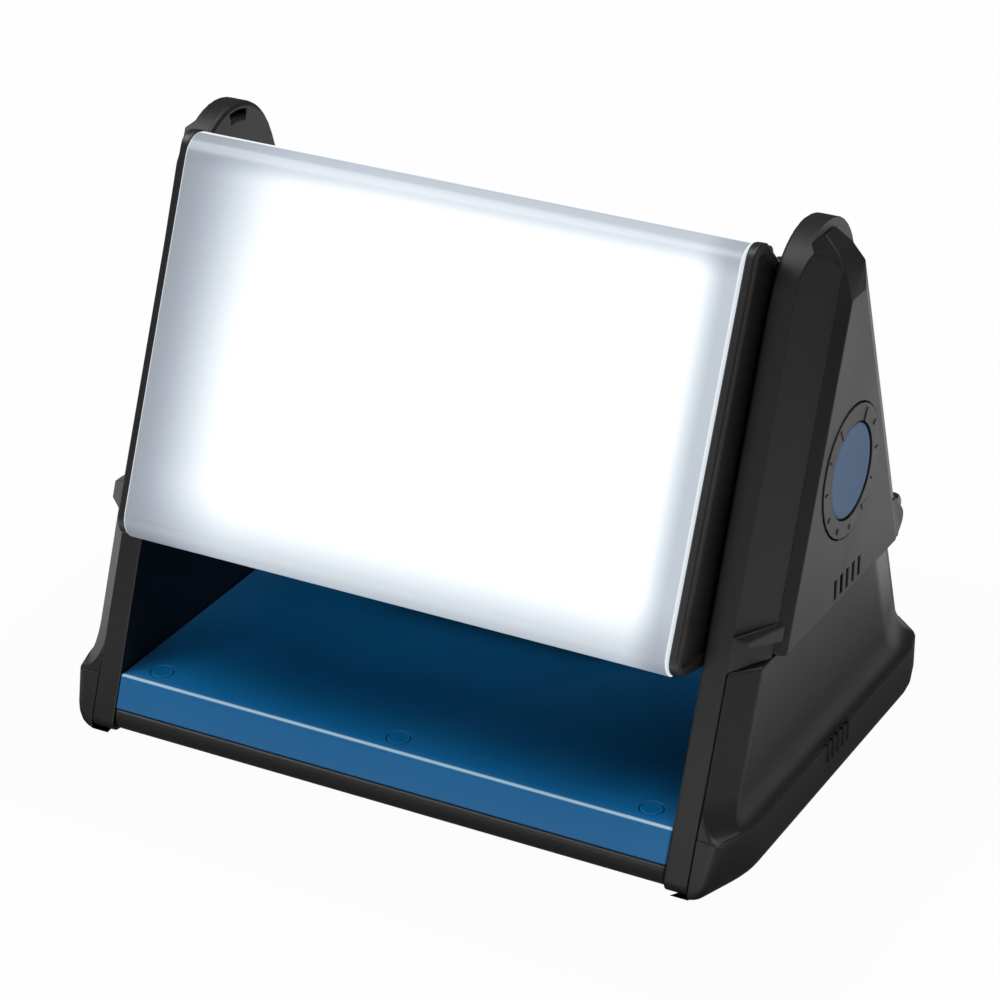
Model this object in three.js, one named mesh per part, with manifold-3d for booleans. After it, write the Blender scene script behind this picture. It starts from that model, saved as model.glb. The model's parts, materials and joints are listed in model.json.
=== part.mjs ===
// Cordless work light: an A-shaped stand of two cheeks carries a tilting light panel,
// with a shelf below it, a battery pack pushed in from the back and a dimmer on one cheek.
//
// Frame: millimetres, +X to the right cheek (the one with the dimmer), +Y to the back, +Z up.
// While it is built, y = 0 is where the sloping front of the stand would meet the floor.
// At the end the whole model moves so that the origin is the middle of its footprint.
import * as THREE from 'three';
import { mergeVertices } from 'three/addons/utils/BufferGeometryUtils.js';
import Module from 'manifold-3d';

const wasm = await Module();
wasm.setup();

// Driving dimensions of the stand
const lensWidth = 220;
const baseDepth = 200.5;
const peakHeight = 270.95;
const peakForwardShare = 0.5135;
const apexRadius = 27;
const undersideHeight = 2;
const footCornerRadius = 4;

// Driving dimensions of the light panel, measured up its slope and back from its front
const panelHeight = 150.8;
const panelDepth = 34.5;
const panelLeanDegrees = 22.3;
const panelPivotUp = 136.8;
const panelPivotBack = 46.5;

// Clearances
const jointGap = 0.3;
const tiltGap = 0.8;
const slideGap = 0.7;
const overrun = 5;
const cutterSize = 800;
const weldDistance = 0.0005;

// Counts
const cornerSteps = 5;
const apexSteps = 16;
const roundSides = 32;
const smallSides = 16;

// Widths across the lamp, from the middle plane outwards
const capThick = 3.5;
const cheekThick = 9;
const cheekSkin = 2.6;
const coverReach = 13.4;
const skirtReach = 9.4;
const rimReach = 14.4;
const lensHalf = lensWidth / 2;
const capInner = lensHalf + jointGap;
const capOuter = capInner + capThick;
const cheekInner = capOuter + tiltGap;
const cheekOuter = cheekInner + cheekThick;
const coverOuter = cheekOuter + coverReach;
const skirtOuter = cheekOuter + skirtReach;
const rimOuter = cheekOuter + rimReach;
const betweenHalf = cheekInner - jointGap;

// Heights
const trayTop = 24.4;
const trayFrontHeight = 12.4;
const coverFoot = 78.5;
const coverRise = 23.4;
const coverBrowRise = 17.9;
const coverKneeRise = 10.35;
const coverShoulderRise = 2.4;
const rimTop = 22.8;

// Colours and finishes
const blackPlastic = { color: 0x2a2a2b, roughness: 0.55, metalness: 0 };
const blackSatin = { color: 0x1f1f21, roughness: 0.4, metalness: 0 };
const bluePlastic = { color: 0x0f5a9c, roughness: 0.35, metalness: 0 };
const blueRubber = { color: 0x5b7187, roughness: 0.6, metalness: 0 };
const opalPlastic = { color: 0xf4f7fa, roughness: 0.35, metalness: 0 };
const whitePlastic = { color: 0xf2f2f0, roughness: 0.5, metalness: 0 };
const rubber = { color: 0x18181a, roughness: 0.9, metalness: 0 };
const steel = { color: 0x9c9fa3, roughness: 0.35, metalness: 1 };
const aluminium = { color: 0xc4c7ca, roughness: 0.45, metalness: 1 };
const copper = { color: 0xb87a4b, roughness: 0.35, metalness: 1 };
const greenBoard = { color: 0x1d5a35, roughness: 0.5, metalness: 0 };
const whiteBoard = { color: 0xe9ecec, roughness: 0.45, metalness: 0 };
const cellWrap = { color: 0x2f8f9a, roughness: 0.4, metalness: 0 };

// Solids from three.js geometries

function solidOf(geometry) {
  geometry.deleteAttribute('normal');
  geometry.deleteAttribute('uv');
  const merged = mergeVertices(geometry, weldDistance);
  return new wasm.Manifold(new wasm.Mesh({
    numProp: 3,
    vertProperties: Float32Array.from(merged.attributes.position.array),
    triVerts: Uint32Array.from(merged.index.array),
  }));
}

function geometryOf(solid) {
  const mesh = solid.getMesh();
  const geometry = new THREE.BufferGeometry();
  geometry.setAttribute('position', new THREE.BufferAttribute(mesh.vertProperties, 3));
  geometry.setIndex(new THREE.BufferAttribute(mesh.triVerts, 1));
  geometry.computeVertexNormals();
  return geometry;
}

// The same solid on the other side of the middle plane, with its faces still pointing out.
function mirrored(solid) {
  const geometry = geometryOf(solid);
  geometry.scale(-1, 1, 1);
  const index = geometry.index.array;
  for (let i = 0; i < index.length; i += 3) {
    [index[i], index[i + 1]] = [index[i + 1], index[i]];
  }
  return solidOf(geometry);
}

// Outline points from corners [a, b, radius, steps]; a corner with a radius becomes an arc.
function outline(corners) {
  const points = [];
  corners.forEach(([a, b, radius = 0, steps = cornerSteps], i) => {
    const here = new THREE.Vector2(a, b);
    if (radius === 0) {
      points.push(here);
      return;
    }
    const [pa, pb] = corners[(i + corners.length - 1) % corners.length];
    const [na, nb] = corners[(i + 1) % corners.length];
    const toPrevious = new THREE.Vector2(pa, pb).sub(here).normalize();
    const toNext = new THREE.Vector2(na, nb).sub(here).normalize();
    const half = Math.acos(toPrevious.dot(toNext)) / 2;
    const middle = toPrevious.clone().add(toNext).normalize();
    const centre = here.clone().addScaledVector(middle, radius / Math.sin(half));
    const start = here.clone().addScaledVector(toPrevious, radius / Math.tan(half)).sub(centre);
    const sweep = Math.PI - 2 * half;
    const turn = Math.sign(toPrevious.cross(toNext)) * -sweep;
    for (let k = 0; k <= steps; k += 1) {
      const at = start.clone().rotateAround(new THREE.Vector2(), (turn * k) / steps);
      points.push(at.add(centre));
    }
  });
  return points;
}

function extruded(points, depth) {
  return new THREE.ExtrudeGeometry(new THREE.Shape(points), { depth, steps: 1, bevelEnabled: false });
}

// A side outline in (y, z), given its thickness across the lamp from x0 to x1.
function slab(corners, x0, x1) {
  const geometry = extruded(outline(corners), x1 - x0);
  const turn = new THREE.Matrix4().makeBasis(
    new THREE.Vector3(0, 1, 0), new THREE.Vector3(0, 0, 1), new THREE.Vector3(1, 0, 0));
  geometry.applyMatrix4(turn);
  geometry.translate(x0, 0, 0);
  return solidOf(geometry);
}

// A plan outline in (x, y), standing from z0 to z1.
function column(corners, z0, z1) {
  const geometry = extruded(outline(corners), z1 - z0);
  geometry.translate(0, 0, z0);
  return solidOf(geometry);
}

// A front outline in (x, z), running back from y0 to y1.
function tunnel(corners, y0, y1) {
  const geometry = extruded(outline(corners), y1 - y0);
  geometry.rotateX(Math.PI / 2);
  geometry.translate(0, y1, 0);
  return solidOf(geometry);
}

function block(x0, x1, y0, y1, z0, z1) {
  const geometry = new THREE.BoxGeometry(x1 - x0, y1 - y0, z1 - z0);
  geometry.translate((x0 + x1) / 2, (y0 + y1) / 2, (z0 + z1) / 2);
  return solidOf(geometry);
}

// A round bar across the lamp from x0 to x1.
function rod(radius, x0, x1, y, z, sides = roundSides) {
  const geometry = new THREE.CylinderGeometry(radius, radius, x1 - x0, sides);
  geometry.rotateZ(Math.PI / 2);
  geometry.translate((x0 + x1) / 2, y, z);
  return solidOf(geometry);
}

// A round post standing from z0 to z1.
function post(radius, x, y, z0, z1, sides = smallSides) {
  const geometry = new THREE.CylinderGeometry(radius, radius, z1 - z0, sides);
  geometry.rotateX(Math.PI / 2);
  geometry.translate(x, y, (z0 + z1) / 2);
  return solidOf(geometry);
}

// Everything on the side of the plane through three points that its right-hand normal points to.
function beyond(a, b, c) {
  const origin = new THREE.Vector3(...a);
  const along = new THREE.Vector3(...b).sub(origin);
  const across = new THREE.Vector3(...c).sub(origin);
  const normal = along.clone().cross(across).normalize();
  const geometry = new THREE.BoxGeometry(cutterSize, cutterSize, cutterSize);
  geometry.translate(0, 0, cutterSize / 2);
  geometry.applyQuaternion(new THREE.Quaternion().setFromUnitVectors(new THREE.Vector3(0, 0, 1), normal));
  geometry.translate(origin.x, origin.y, origin.z);
  return solidOf(geometry);
}

function joined(solids) {
  return solids.reduce((whole, solid) => whole.add(solid));
}

function cut(solid, cutters) {
  return cutters.reduce((rest, cutter) => rest.subtract(cutter), solid);
}

// The scene graph

const lamp = new THREE.Group();
const panel = new THREE.Group();
lamp.add(panel);

function addPiece(name, solid, finish, parent = lamp) {
  const mesh = new THREE.Mesh(geometryOf(solid), new THREE.MeshStandardMaterial(finish));
  mesh.name = name;
  parent.add(mesh);
}

// Adds the piece drawn for the right side and its mirror image on the left.
function addPair(name, solid, finish, parent = lamp) {
  addPiece(`${name}_right`, solid, finish, parent);
  addPiece(`${name}_left`, mirrored(solid), finish, parent);
}

// The stand's side view: two sloping lines that meet in a rounded top

const frontSlope = (peakForwardShare * baseDepth) / peakHeight;
const rearSlope = ((1 - peakForwardShare) * baseDepth) / peakHeight;
const frontY = (z) => frontSlope * z;
const rearY = (z) => baseDepth - rearSlope * z;
const frontStretch = Math.hypot(1, frontSlope);
const rearStretch = Math.hypot(1, rearSlope);
const apexZ = peakHeight - (apexRadius * (frontStretch + rearStretch)) / (frontSlope + rearSlope);
const apexY = frontY(apexZ) + apexRadius * frontStretch;
const coverTop = apexZ + coverRise;
const coverBrow = apexZ + coverBrowRise;
const coverKnee = apexZ + coverKneeRise;
const coverShoulder = apexZ + coverShoulderRise;

// Cheek frames: the sloping plates between which the light panel hangs

const wedgeDepth = 17.5;
const wedgeReach = 9.4;
const blockTop = 90;
const blockNose = 5.9;
const blockNoseDrop = 1.8;
const blockRearDrop = 4.8;
const leftNose = 12.5;
const leftBlockShoulder = 84.5;
const leftBlockRun = 4.2;
const kneeInset = 2.6;
const browInset = 7;
const pocketRim = 4;
const pocketSplit = 76;
const pocketRib = 3;
const pocketTopDrop = 27.1;
const pocketTop = apexZ - pocketTopDrop;
const pocketFront = 26.5;
const coverRearInset = 14;
const coverFrontX = 4;
const coverFrontY = 3.5;
const studRadius = 5;
const studDepth = 6.2;
const slotPathRadius = 22.8;
const slotWidth = 2.6;
const slotDepth = 3;
const slotStartDegrees = 70;
const slotEndDegrees = 98;
const slotSteps = 8;
const rearTaperX = 10.6;
const rearTaperY = 33;

const handlePivotInset = 6.6;
const handlePivotDrop = 18.1;
const handlePivotZ = apexZ - handlePivotDrop;
const handlePivotY = rearY(handlePivotZ) - handlePivotInset;
const handlePinRadius = 4;

function cheekOutline() {
  return [
    [frontY(undersideHeight), undersideHeight, footCornerRadius],
    [rearY(undersideHeight), undersideHeight, footCornerRadius],
    [frontY(peakHeight), peakHeight, apexRadius, apexSteps],
  ];
}

// The planes that round the top of the cover and wedge into the flat of the ear.
function shoulderCuts(shift = 0) {
  const path = [
    [coverOuter, coverShoulder],
    [coverOuter - kneeInset, coverKnee],
    [coverOuter - browInset, coverBrow],
    [cheekOuter, coverTop],
  ];
  return path.slice(1).map(([x, z], k) => beyond(
    [path[k][0], 0, path[k][1] + shift],
    [path[k][0], baseDepth, path[k][1] + shift],
    [x, 0, z + shift]));
}

// Everything more than the given depth behind the stand's sloping front.
function behind(depth) {
  return beyond(
    [0, depth, 0],
    [0, frontY(coverTop) + depth, coverTop],
    [cutterSize, depth, 0]);
}

// Everything in front of a plane that stands the given depth behind the sloping front.
function ahead(depth) {
  return beyond(
    [0, depth, 0],
    [cutterSize, depth, 0],
    [0, frontY(coverTop) + depth, coverTop]);
}

function below(z) {
  return beyond([0, 0, z], [0, cutterSize, z], [cutterSize, 0, z]);
}

// The facet behind the front edge runs outwards to the cover, along the sloping front.
function wedge() {
  const blank = slab(cheekOutline(), cheekOuter - jointGap, cheekOuter + wedgeReach);
  const facet = beyond(
    [cheekOuter, frontY(0), 0],
    [cheekOuter + wedgeReach, frontY(0) + wedgeDepth, 0],
    [cheekOuter, frontY(coverTop), coverTop]);
  return cut(blank, [facet, ...shoulderCuts(), behind(wedgeDepth), below(coverFoot)]);
}

// The step at the foot of that facet fills the corner between the facet and the cover.
function blockBlank() {
  return slab([
    [frontY(coverFoot), coverFoot],
    [frontY(coverFoot) + wedgeDepth, coverFoot],
    [frontY(blockTop) + wedgeDepth, blockTop],
    [frontY(blockTop), blockTop],
  ], cheekOuter - jointGap, coverOuter);
}

function rightBlock() {
  const face = beyond(
    [cheekOuter + blockNose, frontY(0), 0],
    [coverOuter, wedgeDepth + coverFrontY, 0],
    [cheekOuter + blockNose, frontY(coverTop), coverTop]);
  const top = beyond(
    [cheekOuter, frontY(blockTop), blockTop],
    [cheekOuter + wedgeReach, frontY(blockTop) + wedgeDepth, blockTop - blockRearDrop],
    [cheekOuter + blockNose, frontY(blockTop), blockTop - blockNoseDrop]);
  return cut(blockBlank(), [face, top]);
}

// On the left the step is fuller, and its top outer edge is sloped off.
function leftBlock() {
  const nose = beyond(
    [cheekOuter, frontY(0), 0],
    [coverOuter, leftNose, 0],
    [cheekOuter, frontY(coverTop), coverTop]);
  const slope = beyond(
    [coverOuter, 0, leftBlockShoulder],
    [coverOuter, baseDepth, leftBlockShoulder],
    [cheekOuter + leftBlockRun, 0, blockTop]);
  return cut(blockBlank(), [nose, slope]);
}

function earSlot() {
  const inner = [];
  const outer = [];
  for (let k = 0; k <= slotSteps; k += 1) {
    const degrees = slotStartDegrees + ((slotEndDegrees - slotStartDegrees) * k) / slotSteps;
    const angle = THREE.MathUtils.degToRad(degrees);
    const [c, s] = [Math.cos(angle), Math.sin(angle)];
    const low = slotPathRadius - slotWidth / 2;
    const high = slotPathRadius + slotWidth / 2;
    inner.push([apexY + low * c, apexZ + low * s]);
    outer.unshift([apexY + high * c, apexZ + high * s]);
  }
  return slab([...inner, ...outer], cheekInner - overrun, cheekInner + slotDepth);
}

function cheekPockets() {
  const floor = cheekInner + cheekSkin;
  const low = undersideHeight + pocketRim;
  const split = pocketSplit - pocketRib;
  const lower = slab([
    [frontY(low) + pocketRim, low, pocketRim],
    [rearY(low) - pocketRim - rearTaperX, low, pocketRim],
    [rearY(split) - pocketRim - rearTaperX, split, pocketRim],
    [frontY(split) + pocketRim, split, pocketRim],
  ], floor, cheekOuter + overrun);
  const start = pocketSplit + pocketRib;
  const upper = slab([
    [frontY(start) + pocketFront, start, pocketRim],
    [rearY(start) - coverRearInset - pocketRim, start, pocketRim],
    [rearY(pocketTop) - coverRearInset - pocketRim, pocketTop, pocketRim],
    [frontY(pocketTop) + pocketFront, pocketTop, pocketRim],
  ], floor, cheekOuter + overrun);
  return [lower, upper];
}

// The rear outer corner of the stand, below the cover, is planed off.
function rearTaper(shift = 0) {
  const x = skirtOuter + shift;
  return beyond(
    [x, rearY(0) - rearTaperY, 0],
    [x - rearTaperX, rearY(0), 0],
    [x, rearY(coverFoot) - rearTaperY, coverFoot]);
}

// The board behind the dial keeps its room in the pocket when the stand gets lower or narrower.
const dialForward = 0.4;
const dialHeightShare = 0.3593;
const dialY = apexY - dialForward;
const dialZ = coverFoot + (coverTop - coverFoot) * dialHeightShare;
const controlBoardRadius = 23.5;

function boardRoom() {
  const floor = cheekInner + cheekSkin + jointGap / 2;
  return rod(controlBoardRadius + jointGap, floor, cheekOuter + overrun, dialY, dialZ);
}

function cheekFrame(footBlock) {
  const plate = slab(cheekOutline(), cheekInner, cheekOuter);
  const lowTaper = rearTaper().intersect(
    block(0, rimOuter, 0, baseDepth + overrun, 0, coverFoot));
  return cut(joined([plate, wedge(), footBlock]), [
    ...cheekPockets(),
    boardRoom(),
    lowTaper,
    earSlot(),
    rod(studRadius + jointGap, cheekInner - overrun, cheekInner + studDepth, apexY, apexZ),
    rod(handlePinRadius + jointGap, cheekInner - overrun, cheekInner + studDepth,
      handlePivotY, handlePivotZ, smallSides),
  ]);
}

addPiece('cheek_frame_right', cheekFrame(rightBlock()), blackPlastic);
addPiece('cheek_frame_left', mirrored(cheekFrame(leftBlock())), blackPlastic);

// Cover: the raised outer housing on each cheek, which holds the controls on the right

const coverWall = 2.5;
const coverHollowShare = 0.885;
const coverInset = wedgeDepth + jointGap;
const coverEdgeX = 3;
const coverEdgeY = 8.5;
const coverCorner = 2;
const lugReach = 7;
const lugTop = 18;
const lugTip = 7;
const lugThick = 6;
const lugTipRadius = 5;
const lugTopRadius = 4;
const lugSetback = 0.6;
const ventCount = 5;
const ventPitch = 5.3;
const ventWidth = 2.2;
const ventHeight = 7.4;
const ventStart = 62;
const ventRise = 1.2;

const dialRadius = 24.8;
const dialBore = 18.2;
const dialGap = 0.4;
const hubRadius = 21;
const recessDepth = 2.8;
const collarDepth = 5.5;

const coverInner = cheekOuter + jointGap;
const recessFloor = coverOuter - recessDepth;
const collarBack = coverOuter - collarDepth;

function coverOutline(inset = 0) {
  const foot = coverFoot + inset;
  const front = coverInset + inset * frontStretch;
  const rear = coverRearInset + inset * rearStretch;
  const corner = inset > 0 ? 0 : coverCorner;
  const peak = (baseDepth - front - rear) / (frontSlope + rearSlope);
  const feet = [
    [frontY(foot) + front, foot, corner],
    [rearY(foot) - rear, foot, corner],
  ];
  const top = foot + (peak - foot) * coverHollowShare;
  if (inset === 0) return [...feet, [frontY(peak) + front, peak]];
  return [...feet, [rearY(top) - rear, top], [frontY(top) + front, top]];
}

// The narrow bright facet down the cover's rear edge.
function coverEdgeCut() {
  const y = rearY(0) - coverRearInset;
  return beyond(
    [coverOuter, y - coverEdgeY, 0],
    [coverOuter - coverEdgeX, y, 0],
    [coverOuter, y - coverEdgeY - rearSlope * coverTop, coverTop]);
}

// The lug at the cover's rear foot.
function coverLug() {
  const line = (z) => rearY(z) - coverRearInset - coverEdgeX;
  const top = coverFoot + lugTop;
  const tip = coverFoot + lugTip;
  return slab([
    [line(coverFoot) - lugReach, coverFoot],
    [line(coverFoot) - coverEdgeX, coverFoot],
    [line(tip) + lugReach, tip, lugTipRadius],
    [line(top), top, lugTopRadius],
    [line(top) - lugReach, top],
  ], coverOuter - lugSetback - lugThick, coverOuter - lugSetback);
}

// The narrow facet down the cover's front edge.
function coverFrontCut() {
  return beyond(
    [coverOuter - coverFrontX, coverInset, 0],
    [coverOuter, coverInset + coverFrontY, 0],
    [coverOuter - coverFrontX, coverInset + frontY(coverTop), coverTop]);
}

function coverVents() {
  return Array.from({ length: ventCount }, (_, k) => {
    const y = frontY(coverFoot) + ventStart + k * ventPitch;
    const z = coverFoot + ventRise;
    return block(coverOuter - 2 * coverWall, coverOuter + overrun,
      y, y + ventWidth, z + coverWall / 2, z + coverWall / 2 + ventHeight);
  });
}

function coverBody() {
  return cut(slab(coverOutline(), coverInner, coverOuter),
    [...shoulderCuts(), coverEdgeCut(), coverFrontCut()]);
}

function coverShell() {
  const hollow = cut(
    slab(coverOutline(coverWall), coverInner - overrun, coverOuter - coverWall),
    shoulderCuts(-2 * coverWall));
  return cut(joined([cut(coverBody(), [hollow]), coverLug()]), coverVents());
}

// On the right the panel has a round recess for the dimmer, with a collar behind it.
function dialCover() {
  const collar = rod(dialRadius + dialGap + coverWall, collarBack, coverOuter, dialY, dialZ);
  return cut(joined([coverShell(), collar.intersect(coverBody())]), [
    rod(dialRadius + dialGap, recessFloor, coverOuter + overrun, dialY, dialZ),
    rod(hubRadius + dialGap, collarBack - overrun, coverOuter, dialY, dialZ),
  ]);
}

addPiece('cover_left', mirrored(coverShell()), blackPlastic);
addPiece('cover_right', dialCover(), blackPlastic);

// Skirt: the wall below each cover, which flares out into the bumper rim round the base

const skirtWall = 2.4;
const skirtTop = coverFoot - jointGap;
const skirtFront = 0.8;
const skirtNose = 11;
const rimWall = 2.6;
const rimFloor = 2.6;
const rimFrontX = 8;
const rimFrontY = 5.5;
const rimStart = 26;
const rimEndInset = 30;
const rimTailX = 10.7;
const rimTailInset = 17.5;
const rimCorner = 8;
const rimBevel = 4;
const flareFoot = 2.7;
const flareRise = 6.2;
const flareTop = 13.2;
const flareReach = 2.5;
const flareKnee = 0.8;
const flareStart = 30;
const ribCount = 5;
const ribPitch = 5.2;
const ribWidth = 1.7;
const ribForward = 13.8;
const ribFoot = 13;
const ribHeight = 10.2;
const ribRise = 0.8;

const skirtInner = cheekOuter + jointGap;
const rimEnd = baseDepth - rimEndInset;
const rimTailY = baseDepth - rimTailInset;
const ribStart = apexY - ribForward;

function rimOutline(inset = 0) {
  const corner = rimCorner - inset;
  return [
    [skirtInner, inset],
    [skirtInner + rimFrontX, rimFrontY + inset, corner],
    [rimOuter - inset, rimStart + inset, corner],
    [rimOuter - inset, rimEnd - inset, corner],
    [skirtInner + rimTailX, rimTailY - inset, corner],
    [skirtInner, rearY(rimTop) - inset],
  ];
}

// Shaves the lower edge of the rim, along its long side.
function rimBevelCut() {
  return beyond(
    [rimOuter - rimBevel, 0, undersideHeight],
    [rimOuter - rimBevel, baseDepth, undersideHeight],
    [rimOuter, 0, undersideHeight + rimBevel]);
}

function skirtWallSolid(inset = 0) {
  const wall = slab([
    [frontY(rimTop) + skirtFront + inset, rimTop - overrun],
    [rearY(rimTop) - skirtFront - inset, rimTop - overrun],
    [rearY(skirtTop) - skirtFront - inset, skirtTop + inset],
    [frontY(skirtTop) + skirtFront + inset, skirtTop + inset],
  ], skirtInner - inset, skirtOuter - inset);
  const nose = beyond(
    [cheekOuter - inset, skirtFront, 0],
    [skirtOuter - inset, skirtNose, 0],
    [cheekOuter - inset, skirtFront + frontY(coverTop), coverTop]);
  return cut(wall, [nose, rearTaper(-inset)]);
}

// The hollow curve from the wall out to the lip of the rim.
function flare() {
  const shape = tunnel([
    [skirtInner, rimTop - jointGap],
    [rimOuter, rimTop - jointGap],
    [skirtOuter + flareReach, rimTop + flareFoot],
    [skirtOuter + flareKnee, rimTop + flareRise],
    [skirtOuter, rimTop + flareTop],
    [skirtInner, rimTop + flareTop],
  ], 0, baseDepth);
  const top = rimTop + flareTop;
  const rearCorner = beyond(
    [skirtOuter - rearTaperX, rearY(top), top],
    [skirtOuter, rearY(top) - rearTaperY, top],
    [rimOuter, rimEnd, rimTop]);
  const frontCorner = beyond(
    [skirtInner, frontY(rimTop), rimTop],
    [rimOuter, rimStart, rimTop],
    [skirtInner, frontY(top) + flareStart, top]);
  return cut(shape.intersect(column(rimOutline(), rimTop - overrun, coverFoot)),
    [frontCorner, rearCorner]);
}

function rimRibs() {
  return joined(Array.from({ length: ribCount }, (_, k) => {
    const y = ribStart + k * ribPitch;
    return block(rimOuter - rimBevel, rimOuter + ribRise, y, y + ribWidth, ribFoot, ribFoot + ribHeight);
  }));
}

function skirt() {
  const rim = cut(column(rimOutline(), undersideHeight, rimTop), [rimBevelCut()]);
  const whole = cut(joined([rim, flare(), skirtWallSolid(), rimRibs()]), [ahead(0)]);
  const rimHollow = column(rimOutline(rimWall), undersideHeight + rimFloor, rimTop - rimWall / 2);
  const reach = cut(rimHollow.add(
    block(skirtInner - overrun, skirtInner + jointGap, rimFrontY + rimWall + overrun,
      rearY(rimTop) - rimWall - overrun, undersideHeight + rimFloor, rimTop - rimWall / 2)),
  [ahead(2 * rimWall), rearTaper(-skirtWall)]);
  return cut(whole, [skirtWallSolid(skirtWall), reach]);
}

addPair('skirt', skirt(), blackPlastic);

// Where the rear cover stands on the shelf, set in from the cheeks' rear edges

const rearSkin = 2.6;
const rearSetIn = 12.5;
const rearTop = 160;
const flangeThick = 2.4;
const flangeDepth = 16;
const rearScrewInset = 36.3;
const rearScrewSpread = betweenHalf - rearScrewInset;

const rearFace = (z) => rearY(z) - rearSetIn;
const rearInside = (z) => rearFace(z) - rearSkin * rearStretch;
const rearScrewY = rearInside(trayTop) - flangeDepth / 2;

// Base pan and the blue shelf over it

const panWall = 2.4;
const panCornerRadius = 6;
const trayThick = 2.4;
const trayEdgeRadius = 1.2;
const trayRearInset = 5;
const plugRadius = 4.2;
const plugThick = 1.2;
const plugY = 18.6;
const plugInset = 12.3;
const bossRadius = 6;
const screwBoreRadius = 1.9;
const screwRadius = 1.5;
const screwHeadRadius = 3.4;
const screwHeadThick = 2;
const screwLength = 14;
const footRadius = 9;
const footStem = 3;
const footSideInset = 22.3;
const footInset = 36;
const footStemRise = 2.6;

const trayFoot = trayTop - trayFrontHeight;
const panTop = trayTop - trayThick - jointGap;
const trayRear = (z) => rearY(z) - trayRearInset;
const plugSpread = betweenHalf - plugInset;
const footX = betweenHalf - footSideInset;
const plugXs = [-plugSpread, 0, plugSpread];
const rearScrewXs = [-rearScrewSpread, rearScrewSpread];
const plugBossFoot = panTop - trayThick;

function basePan() {
  const inner = undersideHeight + panWall;
  const front = (z) => frontY(z) + panWall * frontStretch;
  const rear = (z) => trayRear(z) - panWall * rearStretch;
  const trough = slab([
    [frontY(undersideHeight), undersideHeight, panCornerRadius],
    [trayRear(undersideHeight), undersideHeight, panCornerRadius],
    [trayRear(panTop), panTop],
    [rear(panTop), panTop],
    [rear(inner), inner, panCornerRadius - panWall],
    [front(inner), inner, panCornerRadius - panWall],
    [front(trayFoot - jointGap), trayFoot - jointGap],
    [frontY(trayFoot - jointGap), trayFoot - jointGap],
  ], -betweenHalf, betweenHalf);
  const bosses = [
    ...plugXs.map((x) => post(bossRadius, x, plugY, inner - jointGap, plugBossFoot - jointGap)),
    ...rearScrewXs.map((x) => post(bossRadius, x, rearScrewY, inner - jointGap, panTop)),
  ];
  const bores = [
    ...plugXs.map((x) => post(screwBoreRadius, x, plugY, inner, panTop + overrun)),
    ...rearScrewXs.map((x) => post(screwBoreRadius, x, rearScrewY, inner, panTop + overrun)),
    ...footPlaces().map(([x, y]) => post(footStem + jointGap, x, y, 0, inner + overrun)),
  ];
  return cut(joined([trough, ...bosses]), bores);
}

function footPlaces() {
  const ys = [footInset, trayRear(0) - footInset];
  return ys.flatMap((y) => [[-footX, y], [footX, y]]);
}

function tray() {
  const front = (z) => frontY(z) + trayThick * frontStretch;
  const sheet = slab([
    [frontY(trayFoot), trayFoot],
    [frontY(trayTop), trayTop, trayEdgeRadius],
    [trayRear(trayTop), trayTop],
    [trayRear(trayTop), trayTop - trayThick],
    [front(trayTop - trayThick), trayTop - trayThick],
    [front(trayFoot), trayFoot],
  ], -betweenHalf, betweenHalf);
  const under = trayTop - trayThick;
  const bosses = plugXs.map((x) => post(bossRadius, x, plugY, plugBossFoot, under + jointGap));
  const counterbore = screwHeadThick + plugThick + jointGap * 2;
  const bores = [
    ...plugXs.map((x) => post(screwBoreRadius, x, plugY, plugBossFoot - overrun, trayTop + overrun)),
    ...plugXs.map((x) => post(plugRadius + jointGap, x, plugY, trayTop - counterbore, trayTop + overrun,
      roundSides)),
    ...rearScrewXs.map((x) => post(screwBoreRadius, x, rearScrewY, under - overrun, trayTop + overrun)),
  ];
  return cut(joined([sheet, ...bosses]), bores);
}

// A pan-head screw pointing down, with the underside of its head at seat.
function screw(x, y, seat) {
  const head = post(screwHeadRadius, x, y, seat, seat + screwHeadThick);
  const shank = post(screwRadius, x, y, seat - screwLength, seat + jointGap);
  return head.add(shank);
}

addPiece('base_pan', basePan(), blackPlastic);
addPiece('tray', tray(), bluePlastic);
plugXs.forEach((x, i) => {
  const seat = trayTop - plugThick - screwHeadThick - jointGap;
  addPiece(`tray_plug_${i + 1}`, post(plugRadius, x, plugY, trayTop - plugThick, trayTop, roundSides),
    bluePlastic);
  addPiece(`tray_screw_${i + 1}`, screw(x, plugY, seat), steel);
});

// A rubber foot has a stem that plugs into the pan.
footPlaces().forEach(([x, y], i) => {
  const pad = post(footRadius, x, y, 0, undersideHeight - jointGap, roundSides);
  const stem = post(footStem, x, y, jointGap, undersideHeight + panWall + footStemRise);
  addPiece(`foot_${i + 1}`, pad.add(stem), rubber);
});

// Battery bay: a short tunnel under the panel, open to the back, with the contacts at its end

const packWidth = 76;
const packLength = 102;
const packBodyHeight = 29;
const packRailWidth = 54;
const packRailHeight = 11.5;
const packRailStart = 18;
const packRailTail = 12;
const packWall = 2;
const packCorner = 5;
const bayWall = 2.5;
const packReach = 12;
const bayStop = 4;
const blockWidth = 36;
const contactBlockDepth = 9;
const bladeSpread = 9;
const bladeThick = 1;
const bladeHeight = 6;
const bladeLength = 9;
const cellCount = 5;
const cellEndRoom = 1.25;
const cellSideRoom = 3.5;
const cellSpacing = 0.8;
const holderThick = 6;
const holderInset = 10.5;
const holderGap = 0.15;

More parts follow.
